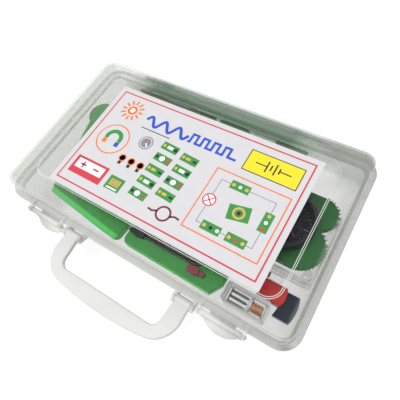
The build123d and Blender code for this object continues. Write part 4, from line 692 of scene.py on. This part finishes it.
class Print:
    """Flat inks laid on the card, in millimetres from its centre.

    What is drawn lies on the current level: 0 is next to the card, and 1 and 2 lie above it.
    """

    def __init__(self):
        low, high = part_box("label_card")
        self.centre = ((low[0] + high[0]) / 2 / MM, (low[1] + high[1]) / 2 / MM)
        self.top = high[2] / MM
        self.level = 0
        self.inks = {}

    def area(self, ink, outline):
        points, faces = self.inks.setdefault(ink, ([], []))
        start = len(points)
        height = self.top + INK_LAYER * (1 + self.level)
        for u, v in outline:
            points.append(((self.centre[0] + u) * MM, (self.centre[1] + v) * MM, height * MM))
        faces.append(tuple(range(start, len(points))))

    def box(self, ink, centre, size, turn=0.0):
        corners = []
        for side_u, side_v in ((-1, -1), (1, -1), (1, 1), (-1, 1)):
            corners.append(turned(centre, side_u * size[0] / 2, side_v * size[1] / 2, turn))
        self.area(ink, corners)

    def disc(self, ink, centre, radius, steps=DISC_STEPS):
        self.area(ink, [(centre[0] + radius * math.cos(2 * math.pi * i / steps),
                         centre[1] + radius * math.sin(2 * math.pi * i / steps)) for i in range(steps)])

    def line(self, ink, points, width, closed=False):
        """A stroke with mitred corners, as one strip of four-sided faces."""
        count = len(points)
        sides = []
        for i, (u, v) in enumerate(points):
            ways = []
            if closed or i > 0:
                ways.append(unit(points[i - 1], (u, v)))
            if closed or i < count - 1:
                ways.append(unit((u, v), points[(i + 1) % count]))
            mean = unit((0, 0), (sum(w[0] for w in ways), sum(w[1] for w in ways)))
            reach = width / 2 / max(SHARPEST_MITRE, mean[0] * ways[0][0] + mean[1] * ways[0][1])
            across = (-mean[1] * reach, mean[0] * reach)
            sides.append(((u + across[0], v + across[1]), (u - across[0], v - across[1])))
        for i in range(count if closed else count - 1):
            (left, right), (next_left, next_right) = sides[i], sides[(i + 1) % count]
            self.area(ink, [right, next_right, next_left, left])

    def ring(self, ink, centre, radius, width):
        points = []
        for i in range(RING_STEPS):
            angle = 2 * math.pi * i / RING_STEPS
            points.append((centre[0] + radius * math.cos(angle), centre[1] + radius * math.sin(angle)))
        self.line(ink, points, width, closed=True)

    def border(self, ink, centre, size, width):
        u, v = size[0] / 2, size[1] / 2
        corners = [(centre[0] + a * u, centre[1] + b * v) for a, b in ((-1, -1), (1, -1), (1, 1), (-1, 1))]
        self.line(ink, corners, width, closed=True)

    def lay(self, looks):
        for ink, (points, faces) in self.inks.items():
            add(f"print_{ink}", mesh_of(f"print_{ink}", points, faces), looks[ink], "lid")


# The print's driving sizes and places, from the card's centre

CARD_BORDER = (162.0, 87.6)
WAVE_FROM, WAVE_TO = -48, -9
WAVE_MIDDLE, WAVE_REACH, WAVE_PACE = 27.5, 4.0, 0.5
PULSES_TO = 31.0
PULSE_LOW, PULSE_HIGH, PULSE_PITCH, PULSE_COUNT = 24.0, 31.0, 9.0, 4
SUN_AT = (-64.0, 30.0)
SUN_RAYS = 12
SUN_RAY_REACH = (5.6, 9.6)
RULE = [(-48.0, 19.8), (-22.0, 19.8)]
CIRCUIT_AT = (50.0, -10.0)
CIRCUIT_SIZE = (54.0, 48.0)
CIRCUIT_REACH = (20.0, 17.0)
MODULE_SIZE = (14.0, 6.4)
MODULE_THING_PITCH = 4.8
MODULE_BLOCK_SHAPE = (2.6, 1.4)
MODULES_AT = (-16.5, 13.0)
MODULE_COLUMN_PITCH, MODULE_COLUMN_DROP, MODULE_ROW_PITCH = 18.0, 2.5, 10.4
MODULES_IN_COLUMNS = (5, 4)
MODULES_TURN = -4.0
COMPASS_AT = (-36.0, 9.0)
BULBS_AT = (-44.5, -9.5)
BULB_COUNT, BULB_PITCH = 3, 8.2
COIL_BLOCK_AT = (-36.5, -30.0)
WIRE_RING_AT = (8.0, -33.0)
MAGNET_AT = (-62.0, 1.0)
CELL_AT = (57.0, 29.0)
POLES_AT = (-62.0, -29.0)


def print_card(looks):
    card = Print()
    card.border("red", (0, 0), CARD_BORDER, 1.1)
    print_wave(card)
    print_sun(card, SUN_AT)
    card.level = 0
    card.line("black", RULE, 0.7)
    print_circuit(card, CIRCUIT_AT)
    print_modules(card)
    print_compass(card, COMPASS_AT)
    for step in range(BULB_COUNT):
        print_bulb(card, (BULBS_AT[0] + BULB_PITCH * step, BULBS_AT[1]))
    print_coil_block(card, COIL_BLOCK_AT)
    print_wire_ring(card, WIRE_RING_AT)
    print_magnet(card, MAGNET_AT)
    print_cell(card, CELL_AT)
    print_poles(card, POLES_AT)
    card.lay({ink: paper(f"ink_{ink}", colour, INK_SPREAD) for ink, colour in INKS.items()})


def print_wave(card):
    """A blue wave that turns into square pulses."""
    wave = [(u, WAVE_MIDDLE + WAVE_REACH * math.sin((u - WAVE_FROM) * WAVE_PACE))
            for u in range(WAVE_FROM, WAVE_TO)]
    card.line("blue", wave, 2.4)
    pulses = [(WAVE_TO, PULSE_LOW)]
    for step in range(PULSE_COUNT):
        rise = WAVE_TO + 2.0 + PULSE_PITCH * step
        fall = rise + PULSE_PITCH / 2
        pulses += [(rise, PULSE_LOW), (rise, PULSE_HIGH), (fall, PULSE_HIGH), (fall, PULSE_LOW)]
    pulses.append((PULSES_TO, PULSE_LOW))
    card.line("blue", pulses, 1.9)


def print_sun(card, centre):
    card.level = 0
    for step in range(SUN_RAYS):
        angle = math.radians(360 / SUN_RAYS * step)
        way = (math.cos(angle), math.sin(angle))
        ray = [(centre[0] + reach * way[0], centre[1] + reach * way[1]) for reach in SUN_RAY_REACH]
        card.line("orange", ray, 1.6)
    card.disc("orange", centre, 4.2)
    card.level = 1
    card.disc("white", centre, 2.2)


def print_module(card, centre, turn, things):
    """A small green board with discs and blocks in a row on it."""
    card.level = 1
    card.box("green", centre, MODULE_SIZE, turn)
    card.level = 2
    for shape, ink, along, size in things:
        place = turned(centre, along, 0.0, turn)
        if shape == "block":
            card.box(ink, place, (MODULE_BLOCK_SHAPE[0] * size, MODULE_BLOCK_SHAPE[1] * size), turn)
        else:
            card.disc(ink, place, size, SMALL_DISC_STEPS)


def print_circuit(card, centre):
    """An orange box with a lamp sign, four boards and a coil, joined by thin wires."""
    (u, v), (reach_u, reach_v) = centre, CIRCUIT_REACH
    left, right, low, high = u - reach_u, u + reach_u, v - reach_v, v + reach_v
    card.level = 0
    card.border("orange", centre, CIRCUIT_SIZE, 0.9)
    card.line("grey", [(left, low), (right, low), (right, high), (left, high)], 0.5, closed=True)
    modules = (
        ((u - 6, high), 0.0, ("brass", "white", "brass")),
        ((right, v + 2), 90.0, ("red", "white", "brass")),
        ((u - 9, low), 0.0, ("brass", "black", "white")),
        ((u + 9, low), 0.0, ("brass", "red", "brass")),
    )
    for place, turn, inks in modules:
        things = [("disc", ink, MODULE_THING_PITCH * (i - 1), 1.3) for i, ink in enumerate(inks)]
        print_module(card, place, turn, things)
    card.level = 1
    card.disc("white", (left, v), 5.0)
    card.level = 2
    card.ring("red", (left, v), 4.4, 0.9)
    for turn in (45, 135):
        card.box("red", (left, v), (8.0, 0.8), turn)
    card.level = 0
    card.box("green", (u + 2, v), (15.0, 11.0), 12)
    card.level = 1
    card.ring("brass", (u + 2, v), 3.6, 1.4)
    card.disc("black", (u + 2, v), 1.4)


def print_modules(card):
    """Two columns of small boards of three kinds, the second column a little lower."""
    kinds = (
        (("disc", "brass", -5.0, 1.2), ("block", "white", 0.0, 1.8), ("disc", "black", 5.0, 1.6)),
        (("disc", "black", -5.0, 1.4), ("disc", "white", -0.6, 2.2), ("disc", "red", 4.8, 1.4)),
        (("disc", "brass", -5.0, 1.2), ("block", "brass", -1.0, 1.4), ("block", "black", 4.6, 1.2)),
    )
    for column, rows in enumerate(MODULES_IN_COLUMNS):
        for row in range(rows):
            place = (MODULES_AT[0] + MODULE_COLUMN_PITCH * column,
                     MODULES_AT[1] - MODULE_ROW_PITCH * row - MODULE_COLUMN_DROP * column)
            print_module(card, place, MODULES_TURN, kinds[(row + 2 * column) % len(kinds)])


def print_compass(card, centre):
    u, v = centre
    card.level = 0
    card.disc("grey", centre, 5.8)
    card.level = 1
    card.ring("white", centre, 4.5, 0.5)
    card.box("red", (u - 1.1, v + 1.4), (3.8, 1.0), 128)
    card.box("white", (u + 1.1, v - 1.4), (3.8, 1.0), 128)


def print_bulb(card, centre):
    u, v = centre
    card.level = 0
    card.box("black", (u, v - 3.8), (2.6, 3.6))
    card.level = 1
    card.disc("orange", centre, 3.1)
    card.disc("yellow", centre, 2.3)


def print_coil_block(card, centre):
    u, v = centre
    card.level = 0
    card.box("green", centre, (13.0, 11.0))
    card.level = 1
    for step in range(5):
        card.box("brass", (u - 3.6 + 1.8 * step, v + 0.6), (1.1, 5.4))
    card.box("white", (u, v - 4.0), (9.0, 1.2))


def print_wire_ring(card, centre):
    """A ring of wire with a wavy tail at each side."""
    u, v = centre
    card.level = 0
    card.ring("wine", centre, 5.0, 1.4)
    for side in (-1, 1):
        tail = [(u + side * out, v + side * up) for out, up in ((5.0, 0.0), (8.5, 1.5), (12.0, 1.0))]
        card.line("wine", tail, 1.4)


def print_magnet(card, centre):
    """A horseshoe magnet in a ring."""
    u, v = centre
    card.level = 0
    card.ring("orange", centre, 13.0, 1.0)
    bend = [(u + 6.0 * math.cos(math.radians(angle)), v + 1 + 6.0 * math.sin(math.radians(angle)))
            for angle in range(-20, 201, 20)]
    card.line("green", bend, 3.4)
    for side, ink in ((-1, "orange"), (1, "blue")):
        card.box(ink, (u + side * 5.7, v - 3.4), (3.6, 4.0))


def print_cell(card, centre):
    """A yellow panel with the sign for two cells."""
    u, v = centre
    card.level = 0
    card.box("black", centre, (39.6, 17.6))
    card.level = 1
    card.box("yellow", centre, (38.2, 16.2))
    card.level = 2
    card.line("black", [(u - 13, v), (u - 4.5, v)], 0.9)
    for step, tall in enumerate((9.0, 4.6, 9.0, 4.6)):
        card.box("black", (u - 4.5 + 3.0 * step, v), (1.1, tall))
    card.line("black", [(u + 4.5, v), (u + 13, v)], 0.9)


def print_poles(card, centre):
    """A red plate with a plus and a minus sign."""
    u, v = centre
    card.level = 0
    card.box("red", centre, (30.0, 15.0))
    card.level = 1
    card.box("white", (u, v + 1.6), (25.0, 8.0))
    card.level = 2
    card.box("red", (u - 6, v + 1.6), (5.4, 1.4))
    card.box("red", (u - 6, v + 1.6), (1.4, 5.4))
    card.box("red", (u + 6, v + 1.6), (5.4, 1.4))


# The card itself, a hair above the lid so that the two faces don't share a plane

CARD_SIZE = (171.0, 96.6, 1.0)
CARD_LIFT = 0.05
CARD_CORNER_STEPS = 4


def make_card(looks):
    low, high = box_in_millimetres("label_card")
    middle = ((low[0] + high[0]) / 2, (low[1] + high[1]) / 2)
    points = []
    for z in (low[2] + CARD_LIFT, high[2]):
        points += in_metres(rounded_loop(*CARD_SIZE, z, middle, CARD_CORNER_STEPS))
    count = len(points) // 2
    faces = [tuple(reversed(range(count))), tuple(range(count, 2 * count))]
    for i in range(count):
        after = (i + 1) % count
        faces.append((i, after, count + after, count + i))
    card = add("card_sheet", mesh_of("card_sheet", points, faces), looks["card"], "lid")
    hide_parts("label_card")


# Teeth round the lobes of the motor's base

TOOTH_REACH = 0.0017
TOOTH_HALF_WIDTH = 0.0006
TOOTH_DEPTH = 0.0016
TOOTH_ROOT_SHARE = 0.4
TEETH_BELOW_TOP = 0.0002
TEETH_FROM_X = 0.070
LONGEST_ARC_CHORD = 0.0015
SAME_HEIGHT = 0.00001
KEY_DIGITS = 6
TOOTH_FACES = ((2, 1, 0), (3, 4, 5), (0, 1, 4, 3), (1, 2, 5, 4), (2, 0, 3, 5))


def outline_chords(node, height):
    """The middles of the short chords round a piece's flat top, each with its way out."""
    mesh = NODES[node].data
    edges = {}
    for face in mesh.polygons:
        corners = [mesh.vertices[i].co for i in face.vertices]
        if any(abs(corner.z - height) > SAME_HEIGHT for corner in corners):
            continue
        middle = (sum(corners, Vector()) / len(corners)).to_2d()
        keys = [(round(corner.x, KEY_DIGITS), round(corner.y, KEY_DIGITS)) for corner in corners]
        for a, b in zip(keys, keys[1:] + keys[:1]):
            edges.setdefault((min(a, b), max(a, b)), []).append(middle)
    chords = []
    for (a, b), middles in sorted(edges.items()):
        a, b = Vector(a), Vector(b)
        if len(middles) == 1 and (b - a).length < LONGEST_ARC_CHORD:
            out = Vector((b.y - a.y, a.x - b.x)).normalized()
            if out.dot(a - middles[0]) < 0:
                out = -out
            chords.append(((a + b) / 2, out))
    return chords


def make_teeth(looks):
    """A tooth on every second chord of the lobes' outline, in the order in which they lie round it."""
    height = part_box("motor_base")[1][2]
    chords = [chord for chord in outline_chords("motor_base", height) if chord[0].x > TEETH_FROM_X]
    middle = sum((place for place, out in chords), Vector((0.0, 0.0))) / len(chords)
    chords.sort(key=lambda chord: math.atan2(chord[0].y - middle.y, chord[0].x - middle.x))
    points, faces = [], []
    for rim, out in chords[::2]:
        side = Vector((-out.y, out.x)) * TOOTH_HALF_WIDTH
        root = rim - out * TOOTH_REACH * TOOTH_ROOT_SHARE
        start = len(points)
        for z in (height - TOOTH_DEPTH, height - TEETH_BELOW_TOP):
            for place in (root - side, rim + out * TOOTH_REACH, root + side):
                points.append((place.x, place.y, z))
        for face in TOOTH_FACES:
            faces.append(tuple(start + corner for corner in face))
    add("motor_base_teeth", mesh_of("motor_base_teeth", points, faces), looks["base_green"], "case")


# Compass marks: 36 of them, with every third longer and every ninth longer and wider

TICK_COUNT = 36
TICK_LIFT = 0.00003
TICK_OUTER = 0.96
LONG_TICK_INNER, MIDDLE_TICK_INNER, SHORT_TICK_INNER = 0.72, 0.82, 0.88
LONG_TICK_HALF_WIDTH, TICK_HALF_WIDTH = 0.0003, 0.00015


def tick_shape(step):
    """Where a mark starts, as a share of the dial's radius, and half its width."""
    if step % 9 == 0:
        return LONG_TICK_INNER, LONG_TICK_HALF_WIDTH
    if step % 3 == 0:
        return MIDDLE_TICK_INNER, TICK_HALF_WIDTH
    return SHORT_TICK_INNER, TICK_HALF_WIDTH


def mark_compass(looks):
    low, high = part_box("compass_dial")
    middle = ((low[0] + high[0]) / 2, (low[1] + high[1]) / 2)
    radius = (high[0] - low[0]) / 2
    height = high[2] + TICK_LIFT
    points, faces = [], []
    for step in range(TICK_COUNT):
        angle = math.radians(360 / TICK_COUNT * step)
        inner, half = tick_shape(step)
        way, side = (math.cos(angle), math.sin(angle)), (-math.sin(angle), math.cos(angle))
        start = len(points)
        for share, offset in ((inner, -half), (TICK_OUTER, -half), (TICK_OUTER, half), (inner, half)):
            reach = radius * share
            points.append((middle[0] + reach * way[0] + offset * side[0],
                           middle[1] + reach * way[1] + offset * side[1], height))
        faces.append(tuple(range(start, start + 4)))
    add("compass_ticks", mesh_of("compass_ticks", points, faces), looks["tick_pale"], "case")


# Filaments in the bulbs: a fine coil between two posts, which hang from the cap, as the boards lie face down

FILAMENT_TURNS = 9
POINTS_PER_TURN = 10
FILAMENT_HALF_LENGTH = 0.0022
FILAMENT_COIL_RADIUS = 0.00035
FILAMENT_WIRE_RADIUS = 0.00008
FILAMENT_SAG = 0.0008
FILAMENT_ABOVE_TIP = 0.006
POST_RADIUS = 0.0002
POST_HALF_GAP = 0.0009
POST_BELOW_CAP = 0.0004


def make_filaments(looks):
    for side in ("left", "right"):
        make_filament(looks["steel"], f"lamp_{side}")


def make_filament(look, lamp):
    low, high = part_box(lamp + "_bulb_glass")
    x, y = (low[0] + high[0]) / 2, (low[1] + high[1]) / 2
    top, bottom = high[2] - POST_BELOW_CAP, low[2] + FILAMENT_ABOVE_TIP
    half, radius = FILAMENT_HALF_LENGTH, FILAMENT_COIL_RADIUS
    posts = [[(x + way * POST_HALF_GAP, y, top), (x + way * half, y, bottom)] for way in (-1, 1)]
    steps = FILAMENT_TURNS * POINTS_PER_TURN
    coil = []
    for i in range(steps + 1):
        share = i / steps
        angle = 2 * math.pi * FILAMENT_TURNS * share
        sag = -FILAMENT_SAG * math.sin(math.pi * share)
        coil.append((x - half + 2 * half * share, y + radius * math.cos(angle),
                     bottom + sag + radius * math.sin(angle)))
    add(lamp + "_posts", line_curve(lamp + "_posts", posts, POST_RADIUS), look, "case")
    curve = line_curve(lamp + "_filament", [coil], FILAMENT_WIRE_RADIUS, bevel=1)
    add(lamp + "_filament", curve, look, "case")


# Floor and light

FLOOR_HALF_SIZE = 3.0
FLOOR_BELOW = 0.0001
FLOOR_GREY = (0.30, 0.30, 0.30)
FLOOR_ROUGH = 0.9
FLOOR_GLOSS = 0.1
FLOOR_GLOW = 0.8
WHITE = (1.0, 1.0, 1.0)
WORLD_LIGHT = 0.85
WORLD_SEEN = 1.0
LAMP_SIZE = 0.8
LAMPS = (("key_light", (-0.35, -0.5, 1.0), 5.0), ("back_light", (0.3, 0.8, 0.8), 3.0))


def make_stage():
    """A grey floor that takes the object's shadow, and glows only for rays that see it."""
    corners = [(side_x * FLOOR_HALF_SIZE, side_y * FLOOR_HALF_SIZE, 0)
               for side_x, side_y in ((-1, -1), (1, -1), (1, 1), (-1, 1))]
    mesh = mesh_of("floor", corners, [(0, 1, 2, 3)])
    floor = bpy.data.objects.new("floor", mesh)
    floor.location.z = -FLOOR_BELOW
    bpy.context.scene.collection.objects.link(floor)
    shader = Shader("floor_white")
    shader.bsdf.inputs["Base Color"].default_value = (*FLOOR_GREY, 1.0)
    shader.bsdf.inputs["Roughness"].default_value = FLOOR_ROUGH
    shader.bsdf.inputs["Specular IOR Level"].default_value = FLOOR_GLOSS
    shader.bsdf.inputs["Emission Color"].default_value = (*WHITE, 1.0)
    path = shader.nodes.new("ShaderNodeLightPath").outputs
    seen = shader.math("MAXIMUM", path["Is Camera Ray"], path["Is Glossy Ray"])
    seen = shader.math("MAXIMUM", seen, path["Is Transmission Ray"])
    shader.put(shader.math("MULTIPLY", seen, FLOOR_GLOW), "Emission Strength")
    mesh.materials.append(shader.material)


def make_world():
    """Soft white light from all round, which the camera sees as plain white."""
    world = bpy.data.worlds.new("studio")
    bpy.context.scene.world = world
    world.use_nodes = True
    nodes, links = world.node_tree.nodes, world.node_tree.links
    path = nodes.new("ShaderNodeLightPath").outputs
    strength = nodes.new("ShaderNodeMapRange")
    strength.inputs["To Min"].default_value = WORLD_LIGHT
    strength.inputs["To Max"].default_value = WORLD_SEEN
    links.new(path["Is Camera Ray"], strength.inputs["Value"])
    links.new(strength.outputs["Result"], nodes["Background"].inputs["Strength"])
    nodes["Background"].inputs["Color"].default_value = (*WHITE, 1.0)


def make_lamps():
    for name, place, power in LAMPS:
        data = bpy.data.lights.new(name, "AREA")
        data.size = LAMP_SIZE
        data.energy = power
        lamp = bpy.data.objects.new(name, data)
        lamp.location = place
        lamp.rotation_euler = (-Vector(place)).to_track_quat("-Z", "Y").to_euler()
        bpy.context.scene.collection.objects.link(lamp)


make_camera()
make_stage()
make_world()
make_lamps()
bpy.context.scene.view_settings.view_transform = "Standard"
LOOKS = make_looks()
dress_nodes(LOOKS)
make_leads(LOOKS)
make_highlight_lines(LOOKS)
make_card(LOOKS)
print_card(LOOKS)
make_teeth(LOOKS)
mark_compass(LOOKS)
make_filaments(LOOKS)
